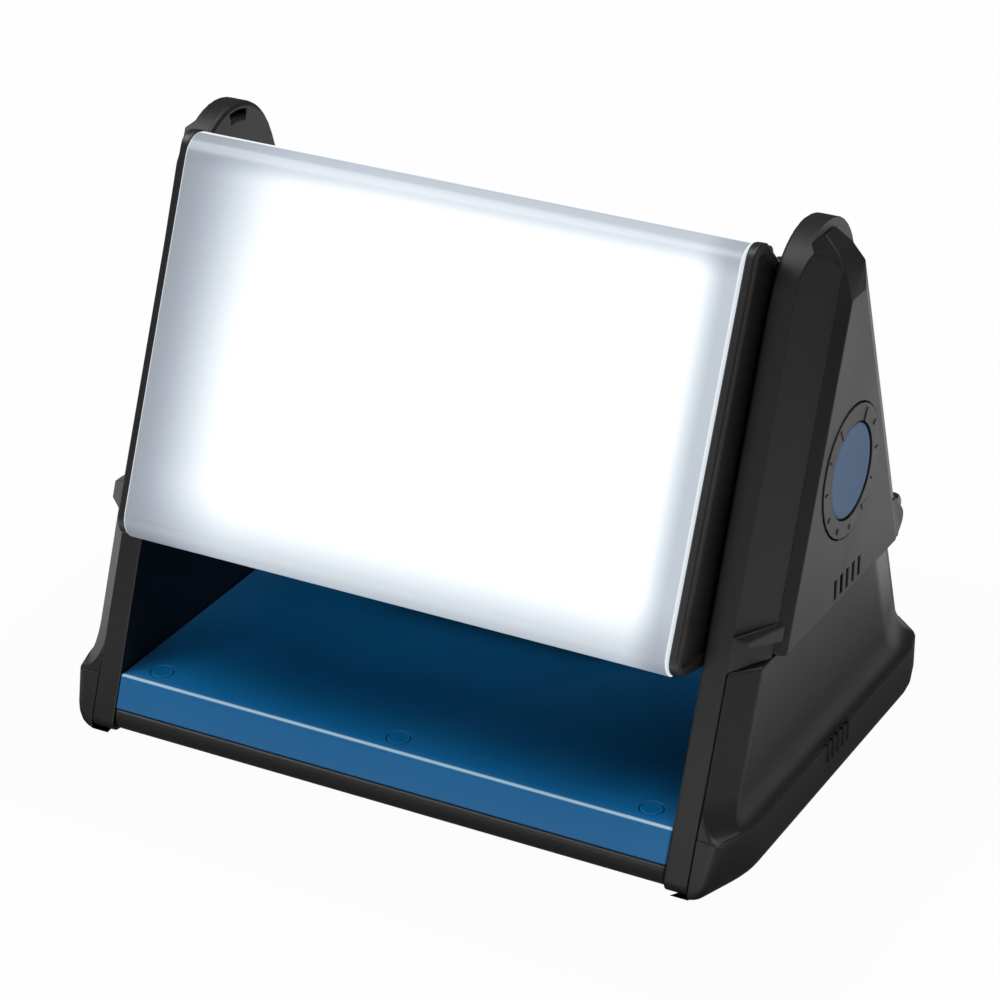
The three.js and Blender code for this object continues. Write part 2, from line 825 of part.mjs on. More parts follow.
const packRear = baseDepth + packReach;
const packFront = packRear - packLength;
const bayFront = packFront - bayStop - bayWall;
const packFoot = trayTop + slideGap;
const packShoulder = packFoot + packBodyHeight;
const packTop = packShoulder + packRailHeight;
const bayHalf = packWidth / 2 + slideGap;
const bayRoof = packTop + slideGap;
const bayFoot = trayTop + jointGap;
const railStart = packFront + packRailStart;
const railRear = packRear - packRailTail;
const cellPitch = (packLength - 2 * packWall - 2 * cellEndRoom) / cellCount;
const cellRadius = (cellPitch - cellSpacing) / 2;
const cellLength = packWidth - 2 * packWall - 2 * cellSideRoom;
const holderSpread = cellLength / 2 - holderInset;

// Rear cover: the sloping wall behind the panel, set in between the cheeks' rear edges

function rearCover() {
  const foot = trayTop + jointGap;
  const wall = slab([
    [rearFace(foot), foot],
    [rearFace(rearTop), rearTop],
    [rearInside(rearTop), rearTop],
    [rearInside(foot + flangeThick), foot + flangeThick],
    [rearInside(foot) - flangeDepth, foot + flangeThick],
    [rearInside(foot) - flangeDepth, foot],
  ], -betweenHalf, betweenHalf);
  const doorHalf = bayHalf + bayWall + jointGap;
  const door = block(-doorHalf, doorHalf, bayFront, packRear, 0, bayRoof + bayWall + jointGap);
  const bores = rearScrewXs.map((x) => post(screwBoreRadius, x, rearScrewY, 0, trayTop + overrun * 2));
  return cut(wall, [door, ...bores]);
}

addPiece('rear_cover', rearCover(), blackPlastic);
rearScrewXs.forEach((x, i) => {
  addPiece(`rear_screw_${i + 1}`, screw(x, rearScrewY, trayTop + flangeThick + 2 * jointGap), steel);
});

function batteryBay() {
  const outer = bayHalf + bayWall;
  const shell = block(-outer, outer, bayFront, packRear, bayFoot, bayRoof + bayWall);
  const hollow = block(-bayHalf, bayHalf, bayFront + bayWall, packRear + overrun,
    bayFoot - overrun, bayRoof);
  const slope = beyond([0, rearFace(0), 0], [0, rearFace(rearTop), rearTop], [cutterSize, rearFace(0), 0]);
  return cut(shell, [hollow, slope]);
}

function contactBlock() {
  const y0 = bayFront + bayWall + jointGap;
  return block(-blockWidth / 2, blockWidth / 2, y0, y0 + contactBlockDepth,
    packShoulder + slideGap, bayRoof - jointGap);
}

addPiece('battery_bay', batteryBay(), blackPlastic);
addPiece('contact_block', contactBlock(), blackSatin);
[-bladeSpread, bladeSpread].forEach((x, i) => {
  const y0 = bayFront + bayWall + contactBlockDepth + 2 * jointGap;
  const z0 = packShoulder + (packRailHeight - bladeHeight) / 2;
  addPiece(`contact_blade_${i + 1}`,
    block(x - bladeThick / 2, x + bladeThick / 2, y0, y0 + bladeLength, z0, z0 + bladeHeight), copper);
});

// Battery pack: a case in two halves round one row of cells, with a release button on each side

const buttonLength = 18;
const buttonHeight = 14;
const buttonTail = 9;
const buttonProud = 1.2;
const buttonThick = 4;
const caseSplitShare = 0.5;

const packHalf = packWidth / 2;
const packMiddle = packFoot + packBodyHeight * caseSplitShare;
const buttonY = packRear - buttonTail - buttonLength;
const buttonZ = packMiddle - buttonHeight / 2;

function packBody(z0, z1, inset) {
  return column([
    [-packHalf + inset, packFront + inset, packCorner - inset],
    [packHalf - inset, packFront + inset, packCorner - inset],
    [packHalf - inset, packRear - inset, packCorner - inset],
    [-packHalf + inset, packRear - inset, packCorner - inset],
  ], z0, z1);
}

function buttonWindows() {
  return [-1, 1].map((side) => {
    const inner = side * (packHalf - packWall - overrun);
    const outer = side * (packHalf + overrun);
    return block(Math.min(inner, outer), Math.max(inner, outer),
      buttonY - jointGap, buttonY + buttonLength + jointGap,
      buttonZ - jointGap, buttonZ + buttonHeight + jointGap);
  });
}

function packLower() {
  const shell = packBody(packFoot, packMiddle - jointGap / 2, 0);
  return cut(shell, [packBody(packFoot + packWall, packMiddle + overrun, packWall), ...buttonWindows()]);
}

function packUpper() {
  const shell = packBody(packMiddle + jointGap / 2, packShoulder, 0);
  const rail = block(-packRailWidth / 2, packRailWidth / 2, railStart, railRear,
    packShoulder - jointGap, packTop);
  const slots = [-bladeSpread, bladeSpread].map((x) => block(
    x - bladeThick / 2 - slideGap, x + bladeThick / 2 + slideGap,
    railStart - overrun, railStart + bladeLength,
    packShoulder + (packRailHeight - bladeHeight) / 2 - slideGap,
    packShoulder + (packRailHeight + bladeHeight) / 2 + slideGap));
  const hollow = packBody(packMiddle - overrun, packShoulder - packWall, packWall);
  return cut(shell.add(rail), [hollow, ...slots, ...buttonWindows()]);
}

addPiece('pack_case_lower', packLower(), blackSatin);
addPiece('pack_case_upper', packUpper(), blackSatin);

// The cells lie side by side in two holders that rest on the floor of the case.
function cellYs() {
  const first = packFront + packLength / 2 - ((cellCount - 1) * cellPitch) / 2;
  return Array.from({ length: cellCount }, (_, k) => first + k * cellPitch);
}

const cellZ = packFoot + packBodyHeight / 2;

function cellHolder(x) {
  const inset = packWall + jointGap;
  const frame = block(x, x + holderThick, packFront + inset, packRear - inset,
    packFoot + inset, packShoulder - inset);
  return cut(frame, cellYs().map((y) => rod(cellRadius + holderGap, x - overrun,
    x + holderThick + overrun, y, cellZ, smallSides)));
}

cellYs().forEach((y, i) => {
  addPiece(`pack_cell_${i + 1}`, rod(cellRadius, -cellLength / 2, cellLength / 2, y, cellZ, smallSides),
    cellWrap);
});
addPair('cell_holder', cellHolder(holderSpread), whitePlastic);
addPair('pack_button', block(packHalf + buttonProud - buttonThick, packHalf + buttonProud,
  buttonY, buttonY + buttonLength, buttonZ, buttonZ + buttonHeight), rubber);

// Controls on the right cheek: a dimmer ring with the power button in its middle

const ringProud = 0.4;
const ringFlange = 1.6;
const ringFlangeThick = 2;
const tickCount = 11;
const tickStepDegrees = 30;
const tickWidth = 0.7;
const tickHeight = 0.4;
const tickLength = 2.2;
const longTickLength = 5.4;
const tickOuterInset = 1.6;
const buttonGap = 0.5;
const buttonFlange = 2;
const buttonFlangeThick = 1.5;
const pressTravel = 1.2;
const controlBoardThick = 1.6;
const switchHalf = 6;
const encoderOuter = 22.5;
const encoderInner = 20.6;

const ringFace = coverOuter + ringProud;
const ringBack = collarBack - jointGap;
const ringRear = ringBack - ringFlangeThick;
const powerFace = ringFace - ringProud;
const powerRadius = dialBore - buttonGap;
const powerBack = ringRear - jointGap;
const boardX = cheekInner + cheekSkin + jointGap;
const boardFace = boardX + controlBoardThick;
const stemEnd = powerBack - buttonFlangeThick;
const switchTop = stemEnd - pressTravel - jointGap;

// Tick marks stand on the ring, one for each step, with none at the top.
function ringTicks() {
  return Array.from({ length: tickCount }, (_, k) => {
    const step = k + 1;
    const length = step === 1 || step === tickCount ? longTickLength : tickLength;
    const outer = dialRadius - tickOuterInset;
    const geometry = new THREE.BoxGeometry(tickHeight * 2, tickWidth, length);
    geometry.translate(0, 0, outer - length / 2);
    geometry.rotateX(THREE.MathUtils.degToRad(step * tickStepDegrees));
    geometry.translate(ringFace, dialY, dialZ);
    return solidOf(geometry);
  });
}

function dimmerRing() {
  const body = joined([
    rod(dialRadius, recessFloor + jointGap, ringFace, dialY, dialZ),
    rod(hubRadius, ringRear, ringFace, dialY, dialZ),
    rod(hubRadius + ringFlange, ringRear, ringBack, dialY, dialZ),
    ...ringTicks(),
  ]);
  return cut(body, [rod(dialBore, ringRear - overrun, ringFace + overrun, dialY, dialZ)]);
}

function powerButton() {
  return joined([
    rod(powerRadius, powerBack - jointGap, powerFace, dialY, dialZ),
    rod(powerRadius + buttonFlange, powerBack - buttonFlangeThick, powerBack, dialY, dialZ),
  ]);
}

function dimmerEncoder() {
  const sleeve = rod(encoderOuter, boardFace + jointGap, ringRear - jointGap, dialY, dialZ);
  return cut(sleeve, [rod(encoderInner, boardFace - overrun, ringRear + overrun, dialY, dialZ)]);
}

addPiece('dimmer_ring', dimmerRing(), blackPlastic);
addPiece('power_button', powerButton(), blueRubber);
addPiece('power_switch', block(boardFace + jointGap, switchTop, dialY - switchHalf, dialY + switchHalf,
  dialZ - switchHalf, dialZ + switchHalf), blackSatin);
addPiece('dimmer_encoder', dimmerEncoder(), whitePlastic);
addPiece('control_board', rod(controlBoardRadius, boardX, boardFace, dialY, dialZ), greenBoard);

// LED driver on its own board in the left cheek

const driverBehind = 7.7;
const driverHeightShare = 0.2714;
const driverY = apexY + driverBehind;
const driverZ = coverFoot + (coverTop - coverFoot) * driverHeightShare;
const driverHalfLength = 22;
const driverHalfHeight = 20;
const driverBlockSize = 12;
const driverBlockHeight = 7;

function driverBoard() {
  const board = block(-boardFace, -boardX, driverY - driverHalfLength, driverY + driverHalfLength,
    driverZ - driverHalfHeight, driverZ + driverHalfHeight);
  const top = boardFace + driverBlockHeight;
  const coil = block(-top, -boardFace + jointGap, driverY - driverBlockSize, driverY,
    driverZ - driverBlockSize / 2, driverZ + driverBlockSize / 2);
  const capacitor = rod(driverBlockSize / 3, -top, -boardFace + jointGap,
    driverY + driverBlockSize, driverZ, smallSides);
  return joined([board, coil, capacitor]);
}

addPiece('driver_board', driverBoard(), greenBoard);

// Light panel, drawn upright in its own group: y runs back from its front, z up its slope

const lensThick = 2.2;
const lensReturn = 9.2;
const panelCorner = 9;
const capFront = 1.6;
const capProud = 0.4;
const capCorner = 6.5;
const capBendBack = 11.5;
const capShoulderBack = 26;
const capShoulderDrop = 6;
const capBossRadius = 9.5;
const capNeck = 38;
const capNeckLength = 22;
const capDishDepth = 0.9;
const capDishInset = 4.5;
const capFootRise = 5;
const bossThick = 9.5;
const shellWall = 2.4;
const shellDrop = 0.6;
const shellTaper = 9;
const shellCorner = 1.5;
const shellVentCount = 9;
const shellVentWidth = 10;
const shellVentHeight = 4;
const shellVentPitch = 20;
const reflectorWall = 1.5;
const reflectorInset = 5;
const boardInset = 7;
const boardThick = 1.6;
const reflectorBack = 22;
const ledRows = 5;
const ledColumns = 9;
const ledSize = 3;
const ledHeight = 0.9;
const sinkThick = 2;
const finThick = 1.6;
const finHeight = 5;
const finCount = 9;
const sinkInset = 12;

const lean = THREE.MathUtils.degToRad(panelLeanDegrees);
panel.rotation.x = -lean;
panel.position.y = apexY - panelPivotUp * Math.sin(lean) - panelPivotBack * Math.cos(lean);
panel.position.z = apexZ - panelPivotUp * Math.cos(lean) + panelPivotBack * Math.sin(lean);

function lens() {
  const inner = panelCorner - lensThick;
  return slab([
    [lensReturn, 0],
    [0, 0, panelCorner],
    [0, panelHeight, panelCorner],
    [lensReturn, panelHeight],
    [lensReturn, panelHeight - lensThick],
    [lensThick, panelHeight - lensThick, inner],
    [lensThick, lensThick, inner],
    [lensReturn, lensThick],
  ], -lensHalf, lensHalf);
}

function capOutline(inset = 0) {
  const front = capFront + inset;
  const top = panelHeight + capProud - inset;
  const back = panelPivotBack + capBossRadius - inset;
  const neck = panelPivotUp - capBossRadius - capNeckLength;
  const corner = capCorner - inset;
  return [
    [front, inset - capProud, corner],
    [front, top, corner],
    [capBendBack, top],
    [capShoulderBack, top - capShoulderDrop],
    [back, panelPivotUp + capBossRadius - inset, corner],
    [back, neck + capBossRadius, corner],
    [capNeck - inset, neck - capBossRadius, corner],
    [capNeck - inset, capFootRise + inset, corner],
  ];
}

function panelCap() {
  const plate = slab(capOutline(), capInner, capOuter);
  const boss = rod(capBossRadius, capOuter - bossThick, capOuter, panelPivotBack, panelPivotUp);
  const dish = slab(capOutline(capDishInset), capOuter - capDishDepth, capOuter + overrun);
  const collar = rod(capBossRadius, capInner, capOuter, panelPivotBack, panelPivotUp);
  return cut(joined([plate, boss]), [
    cut(dish, [collar]),
    rod(studRadius + jointGap, capOuter - bossThick - overrun, capOuter + overrun,
      panelPivotBack, panelPivotUp),
  ]);
}

// A shallow channel closes the panel's back, with two rows of vents.
function shellOutline(inset = 0) {
  const front = lensReturn + jointGap - inset;
  const low = shellDrop + inset;
  const high = panelHeight - low;
  const back = panelDepth - inset;
  const corner = shellWall + shellCorner - inset;
  return [
    [front, low],
    [panelDepth - shellTaper, low, corner],
    [back, low + shellTaper, corner],
    [back, high - shellTaper, corner],
    [panelDepth - shellTaper, high, corner],
    [front, high],
  ];
}

function panelShell() {
  const channel = cut(slab(shellOutline(), -lensHalf, lensHalf),
    [slab(shellOutline(shellWall), -lensHalf - overrun, lensHalf + overrun)]);
  const vents = [shellTaper * 3, panelHeight - shellTaper * 3].flatMap((z) =>
    Array.from({ length: shellVentCount }, (_, k) => {
      const x = (k - (shellVentCount - 1) / 2) * shellVentPitch;
      return block(x - shellVentWidth / 2, x + shellVentWidth / 2, panelDepth - 2 * shellWall,
        panelDepth + overrun, z - shellVentHeight / 2, z + shellVentHeight / 2);
    }));
  return cut(channel, vents);
}

function reflector() {
  const half = lensHalf - reflectorInset;
  const front = lensReturn + jointGap;
  const low = reflectorInset;
  const high = panelHeight - reflectorInset;
  const frame = block(-half, half, front, reflectorBack, low, high);
  return cut(frame, [block(-half + reflectorWall, half - reflectorWall, front - overrun,
    reflectorBack + overrun, low + reflectorWall, high - reflectorWall)]);
}

function ledBoard() {
  const half = lensHalf - boardInset;
  const face = reflectorBack + jointGap;
  const width = 2 * half;
  const height = panelHeight - 2 * boardInset;
  const board = block(-half, half, face, face + boardThick, boardInset, panelHeight - boardInset);
  const chips = Array.from({ length: ledRows * ledColumns }, (_, k) => {
    const x = (((k % ledColumns) + 0.5) / ledColumns) * width - half;
    const z = boardInset + ((Math.floor(k / ledColumns) + 0.5) / ledRows) * height;
    return block(x - ledSize / 2, x + ledSize / 2, face - ledHeight, face + jointGap,
      z - ledSize / 2, z + ledSize / 2);
  });
  return joined([board, ...chips]);
}

function heatSink() {
  const half = lensHalf - sinkInset;
  const face = reflectorBack + 2 * jointGap + boardThick;
  const low = sinkInset;
  const height = panelHeight - 2 * sinkInset;
  const plate = block(-half, half, face, face + sinkThick, low, low + height);
  const fins = Array.from({ length: finCount }, (_, k) => {
    const z = low + finThick / 2 + ((height - finThick) * k) / (finCount - 1);
    return block(-half, half, face + sinkThick - jointGap, face + sinkThick + finHeight,
      z - finThick / 2, z + finThick / 2);
  });
  return joined([plate, ...fins]);
}

addPair('panel_cap', panelCap(), blackSatin, panel);
addPiece('panel_shell', panelShell(), blackPlastic, panel);
addPiece('lens', lens(), opalPlastic, panel);
addPiece('reflector', reflector(), whitePlastic, panel);
addPiece('led_board', ledBoard(), whiteBoard, panel);
addPiece('heat_sink', heatSink(), aluminium, panel);

// Pivot studs, fixed in the ears, that carry the panel

const studLength = 14.5;
const studEnd = cheekInner + studDepth - jointGap;
addPair('pivot_stud', rod(studRadius, studEnd - studLength, studEnd, apexY, apexZ), steel);

// Carrying handle: a bail folded down behind the stand

const armThick = 6.2;
const armHalf = 5;
const barRadius = 5;
const barEnd = 2.4;
const barZ = 76.7;
const gripRadius = 8;
const gripHalf = 55;
const pinHeadRadius = 6;
const pinHeadThick = 2;
const armEye = 2.4;

const barY = rearY(barZ) + (barRadius + jointGap) * rearStretch;
const armOuter = betweenHalf - jointGap;
const armInner = armOuter - armThick;
const barHalf = cheekOuter + barEnd;

function handleArm() {
  const run = new THREE.Vector2(barY - handlePivotY, barZ - handlePivotZ);
  const side = new THREE.Vector2(-run.y, run.x).normalize().multiplyScalar(armHalf);
  const strap = slab([
    [handlePivotY + side.x, handlePivotZ + side.y],
    [handlePivotY - side.x, handlePivotZ - side.y],
    [barY - side.x, barZ - side.y],
    [barY + side.x, barZ + side.y],
  ], armInner, armOuter);
  const eyes = [
    rod(handlePinRadius + jointGap + armEye, armInner, armOuter, handlePivotY, handlePivotZ),
    rod(barRadius + jointGap + armEye, armInner, armOuter, barY, barZ),
  ];
  return cut(joined([strap, ...eyes]), [
    rod(handlePinRadius + jointGap, armInner - overrun, armOuter + overrun,
      handlePivotY, handlePivotZ, smallSides),
    rod(barRadius + jointGap, armInner - overrun, armOuter + overrun, barY, barZ),
  ]);
}

function handlePin() {
  const end = cheekInner + studDepth - jointGap;
  const shank = rod(handlePinRadius, armInner - 2 * jointGap, end,
    handlePivotY, handlePivotZ, smallSides);
  const head = rod(pinHeadRadius, armInner - jointGap - pinHeadThick, armInner - jointGap,
    handlePivotY, handlePivotZ);
  return shank.add(head);
}

addPair('handle_arm', handleArm(), blackSatin);
addPiece('handle_bar', rod(barRadius, -barHalf, barHalf, barY, barZ), blackSatin);
addPiece('handle_grip', cut(rod(gripRadius, -gripHalf, gripHalf, barY, barZ),
  [rod(barRadius + jointGap, -gripHalf - overrun, gripHalf + overrun, barY, barZ)]), rubber);
addPair('handle_pin', handlePin(), steel);

// The origin is the middle of the footprint, on the floor.
lamp.position.y = -(frontY(undersideHeight) + packRear) / 2;

export default lamp;
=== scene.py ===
# %% [markdown]
# # A cordless work light, dressed piece by piece
# The lamp is an A-shaped stand with a glowing panel that tilts between two cheeks, a blue
# shelf below it, a dimmer dial on one cheek, and a battery pack and a handle at the back.
# The hard shapes come in as finished solids, so this lesson is about what a moulding shop
# adds to them: rounded edges, moulded textures, turned metal and light.

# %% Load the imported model
import json
import math
import bpy
import bmesh
from mathutils import Matrix, Vector


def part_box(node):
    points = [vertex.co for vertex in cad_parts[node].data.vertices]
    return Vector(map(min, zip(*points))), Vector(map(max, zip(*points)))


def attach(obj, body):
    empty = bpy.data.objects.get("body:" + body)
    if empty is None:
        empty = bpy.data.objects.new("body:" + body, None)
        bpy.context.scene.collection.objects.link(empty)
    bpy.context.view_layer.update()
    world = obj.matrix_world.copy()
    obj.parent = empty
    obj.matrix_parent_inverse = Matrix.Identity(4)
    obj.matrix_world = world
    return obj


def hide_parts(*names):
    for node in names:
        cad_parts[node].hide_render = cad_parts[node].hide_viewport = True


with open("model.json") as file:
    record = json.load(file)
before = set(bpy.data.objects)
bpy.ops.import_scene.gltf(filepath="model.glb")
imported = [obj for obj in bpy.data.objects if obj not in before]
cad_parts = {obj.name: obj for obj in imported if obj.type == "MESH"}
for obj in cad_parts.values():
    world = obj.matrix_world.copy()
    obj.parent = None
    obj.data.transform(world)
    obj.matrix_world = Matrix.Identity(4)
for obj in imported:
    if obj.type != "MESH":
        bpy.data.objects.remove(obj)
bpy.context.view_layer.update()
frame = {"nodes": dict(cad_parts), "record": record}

MM = 0.001
nodes = frame["nodes"]

# %% [markdown]
# The camera could be placed by eye, but a product picture is easier to match when its view is
# solved from straight edges. A long lens from 1.3 m away keeps the lamp's edges almost
# parallel, as in a catalogue picture.

# %% Place the camera
LOOK_AT = Vector((1.59, -13.32, 87.83)) * MM
DISTANCE = 1305.9 * MM
AZIMUTH = math.radians(28.18)
ELEVATION = math.radians(26.98)
LENS_IN_PICTURE_WIDTHS = 3.5199

camera_data = bpy.data.cameras.new("camera")
camera_data.sensor_width = 36
camera_data.lens = camera_data.sensor_width * LENS_IN_PICTURE_WIDTHS
camera_data.clip_end = 20
camera = bpy.data.objects.new("camera", camera_data)
bpy.context.scene.collection.objects.link(camera)
towards_camera = Vector((
    math.sin(AZIMUTH) * math.cos(ELEVATION),
    -math.cos(AZIMUTH) * math.cos(ELEVATION),
    math.sin(ELEVATION),
))
camera.location = LOOK_AT + towards_camera * DISTANCE
camera.rotation_euler = (-towards_camera).to_track_quat("-Z", "Y").to_euler()
bpy.context.scene.camera = camera
print("camera at", [round(v, 3) for v in camera.location])

# %% [markdown]
# A material in Blender is a graph of nodes. It could be clicked together in the editor, but
# this lamp needs more than a dozen that share most of their graph. So each thing that they
# share, such as noise, a bump or a colour ramp, gets one small function.

# %% Helpers for node materials
def new_material(name):
    """A node material, with its tree and its main shader."""
    material = bpy.data.materials.new(name)
    material.use_nodes = True
    tree = material.node_tree
    return material, tree, tree.nodes["Principled BSDF"]


def add_node(tree, kind, **inputs):
    node = tree.nodes.new(kind)
    for key, value in inputs.items():
        node.inputs[key.replace("_", " ")].default_value = value
    return node


def object_place(tree):
    """Where a point lies on the lamp, in metres."""
    return tree.nodes.new("ShaderNodeTexCoord").outputs["Object"]


def noise(tree, place, scale, detail, roughness=0.5):
    node = add_node(tree, "ShaderNodeTexNoise", Scale=scale, Detail=detail, Roughness=roughness)
    tree.links.new(place, node.inputs["Vector"])
    return node.outputs[0]


def ramp(tree, source, stops):
    """A colour ramp from a list of (place, colour) stops."""
    node = tree.nodes.new("ShaderNodeValToRGB")
    elements = node.color_ramp.elements
    while len(elements) < len(stops):
        elements.new(0.5)
    for element, (place, colour) in zip(elements, stops):
        element.position = place
        element.color = (*colour, 1)
    tree.links.new(source, node.inputs[0])
    return node


def add_bump(tree, shader, height, strength, distance):
    node = add_node(tree, "ShaderNodeBump", Strength=strength, Distance=distance)
    tree.links.new(height, node.inputs["Height"])
    tree.links.new(node.outputs[0], shader.inputs["Normal"])


print("six helpers for materials")

# %% [markdown]
# Some finishes depend on how far a point lies from an edge. That could be painted, but nodes
# can work it out from the point's place, and then it is right at any size. These helpers do
# the sums: plain and vector maths, a range mapped onto another, and two kinds of mixing.

# %% Helpers for sums and mixes
def add_math(tree, operation, first, second):
    """A math node on sockets or numbers."""
    node = tree.nodes.new("ShaderNodeMath")
    node.operation = operation
    for socket, value in zip(node.inputs, (first, second)):
        if isinstance(value, (int, float)):
            socket.default_value = value
        else:
            tree.links.new(value, socket)
    return node.outputs[0]


def vector_math(tree, operation, source, fixed=None):
    """A vector node on a socket and, where the sum needs one, a fixed vector."""
    node = tree.nodes.new("ShaderNodeVectorMath")
    node.operation = operation
    tree.links.new(source, node.inputs[0])
    if fixed:
        node.inputs[1].default_value = fixed
    return node.outputs["Value" if operation == "DISTANCE" else "Vector"]


def mapped(tree, source, start, end, low, high, smooth=True):
    """Maps start to end onto low to high, and holds the value outside them."""
    node = tree.nodes.new("ShaderNodeMapRange")
    node.interpolation_type = "SMOOTHSTEP" if smooth else "LINEAR"
    tree.links.new(source, node.inputs["Value"])
    for key, value in (("From Min", start), ("From Max", end), ("To Min", low), ("To Max", high)):
        node.inputs[key].default_value = value
    return node.outputs[0]


def mixed_colour(tree, share, under, over):
    """A linked colour that gives way to a fixed one as the share rises."""
    node = tree.nodes.new("ShaderNodeMix")
    node.data_type = "RGBA"
    tree.links.new(share, node.inputs["Factor"])
    tree.links.new(under, node.inputs[6])
    node.inputs[7].default_value = (*over, 1)
    return node.outputs[2]


def mixed_shader(tree, share, first, second):
    node = tree.nodes.new("ShaderNodeMixShader")
    for socket, source in zip(node.inputs, (share, first, second)):
        tree.links.new(source, socket)
    return node.outputs[0]


print("five helpers for sums and mixes")

# %% [markdown]
# A product picture is taken on a table of white paper. A large plane that fades out would do,
# but a black moulding shows its form only by what it reflects, and a small table in a dim
# room gives it both: faces that see the table turn grey, and faces that look past its edge
# stay black.

# %% White table
TABLE_HALF = 0.75
TABLE_MIDDLE = (0.10, 0.12, 0)

table_bm = bmesh.new()
bmesh.ops.create_grid(table_bm, x_segments=1, y_segments=1, size=TABLE_HALF)
bmesh.ops.translate(table_bm, verts=table_bm.verts, vec=TABLE_MIDDLE)
table_mesh = bpy.data.meshes.new("table")
table_bm.to_mesh(table_mesh)
table_bm.free()
table = bpy.data.objects.new("table", table_mesh)
bpy.context.scene.collection.objects.link(table)
print("table is", 2 * TABLE_HALF, "m wide")

# %% [markdown]
# The lamp's own shade keeps the paper close to it dark, so its lowest parts get little light
# from below. More lamps could shape that shade. Here the paper's colour does it, by the
# distance to a box round the lamp. The camera sees the paper almost wholly as white light,
# and glossy faces see it half so: it looks plain and still takes a faint shadow.

# %% The table's paper
LAMP_HALF = (0.139, 0.106, 0)
SHADE_FROM, SHADE_TO = 0.030, 0.085
DARK_NEAR, PALE_FAR = 0.12, 0.85
WHITE_TO_CAMERA = 0.97
WHITE_IN_GLOSS = 0.5
GLOSS_LIGHT = 1.9


def whitened(tree, surface, ray, share, strength=None):
    """Mixes a surface's own shading with white light, for one kind of ray."""
    path = tree.nodes.new("ShaderNodeLightPath")
    white = add_node(tree, "ShaderNodeEmission", Strength=1.0)
    if strength:
        tree.links.new(strength, white.inputs["Strength"])
    return mixed_shader(tree, add_math(tree, "MULTIPLY", path.outputs[ray], share), surface,
                        white.outputs[0])


table_white, tree, paper = new_material("table_white")
past_box = vector_math(tree, "SUBTRACT", vector_math(tree, "ABSOLUTE", object_place(tree)),
                       LAMP_HALF)
axes = tree.nodes.new("ShaderNodeSeparateXYZ")
tree.links.new(past_box, axes.inputs[0])
reach = add_math(tree, "MAXIMUM", axes.outputs["X"], axes.outputs["Y"])
shade = mapped(tree, reach, SHADE_FROM, SHADE_TO, DARK_NEAR, PALE_FAR)
tree.links.new(shade, paper.inputs["Base Color"])
paper.inputs["Roughness"].default_value = 0.9
paper.inputs["Specular IOR Level"].default_value = 0.0
mirrored = whitened(tree, paper.outputs[0], "Is Glossy Ray", WHITE_IN_GLOSS,
                    add_math(tree, "MULTIPLY", shade, GLOSS_LIGHT))
seen = whitened(tree, mirrored, "Is Camera Ray", WHITE_TO_CAMERA)
tree.links.new(seen, tree.nodes["Material Output"].inputs["Surface"])
table_mesh.materials.append(table_white)
print("paper is dark to", SHADE_FROM / MM, "mm and pale from", SHADE_TO / MM, "mm")

# %% [markdown]
# The room is dim for the lamp and white for the camera. One large lamp would flatten the
# cheeks, so there are three. The main panel hangs to the upper left in front, so that front
# edges facing it shine and the lamp's shadow falls to the right, where the low parts of the
# cheek reflect it. One more lights the table behind, and a low weak one lifts the shelf's lip.

# %% Room and lamps
ROOM_LIGHT = 0.10

world = bpy.data.worlds.new("room")
bpy.context.scene.world = world
world.use_nodes = True
tree = world.node_tree
room = tree.nodes["Background"]
room.inputs["Color"].default_value = (0.92, 0.95, 1.0, 1)
room.inputs["Strength"].default_value = ROOM_LIGHT
backdrop = add_node(tree, "ShaderNodeBackground", Strength=1.0)
backdrop.inputs["Color"].default_value = (1, 1, 1, 1)
path = tree.nodes.new("ShaderNodeLightPath")
shown = mixed_shader(tree, path.outputs["Is Camera Ray"], room.outputs[0], backdrop.outputs[0])
tree.links.new(shown, tree.nodes["World Output"].inputs["Surface"])


def soft_panel(name, place, aim, size, power):
    """A square lamp, with its side in metres and its power in watts."""
    lamp = bpy.data.lights.new(name, "AREA")
    lamp.shape = "SQUARE"
    lamp.size = size
    lamp.energy = power
    holder = bpy.data.objects.new(name, lamp)
    bpy.context.scene.collection.objects.link(holder)
    holder.location = place
    holder.rotation_euler = (Vector(aim) - Vector(place)).to_track_quat("-Z", "Y").to_euler()


soft_panel("light_key", place=(-0.75, -0.35, 1.35), aim=(0, 0, 0.1), size=0.9, power=11)
soft_panel("light_above", place=(0.50, 0.08, 1.5), aim=(0.15, 0.2, 0.0), size=1.0, power=12)
soft_panel("light_front", place=(0.0, -1.7, 0.30), aim=(0, -0.1, 0.05), size=0.6, power=4.5)
bpy.context.scene.view_settings.view_transform = "Standard"
print("room set with three soft panels")

# %% [markdown]
# Every moulding has a texture that was spark-eroded into its mould. It could be drawn as an
# image, but noise in Object coordinates sits at real size and needs no unwrapping. One
# recipe serves all the plastics, with its own colour, grain and shine for each: two close
# tones drift over the surface, a fine grain lifts it, and a little wear shows at the edges.

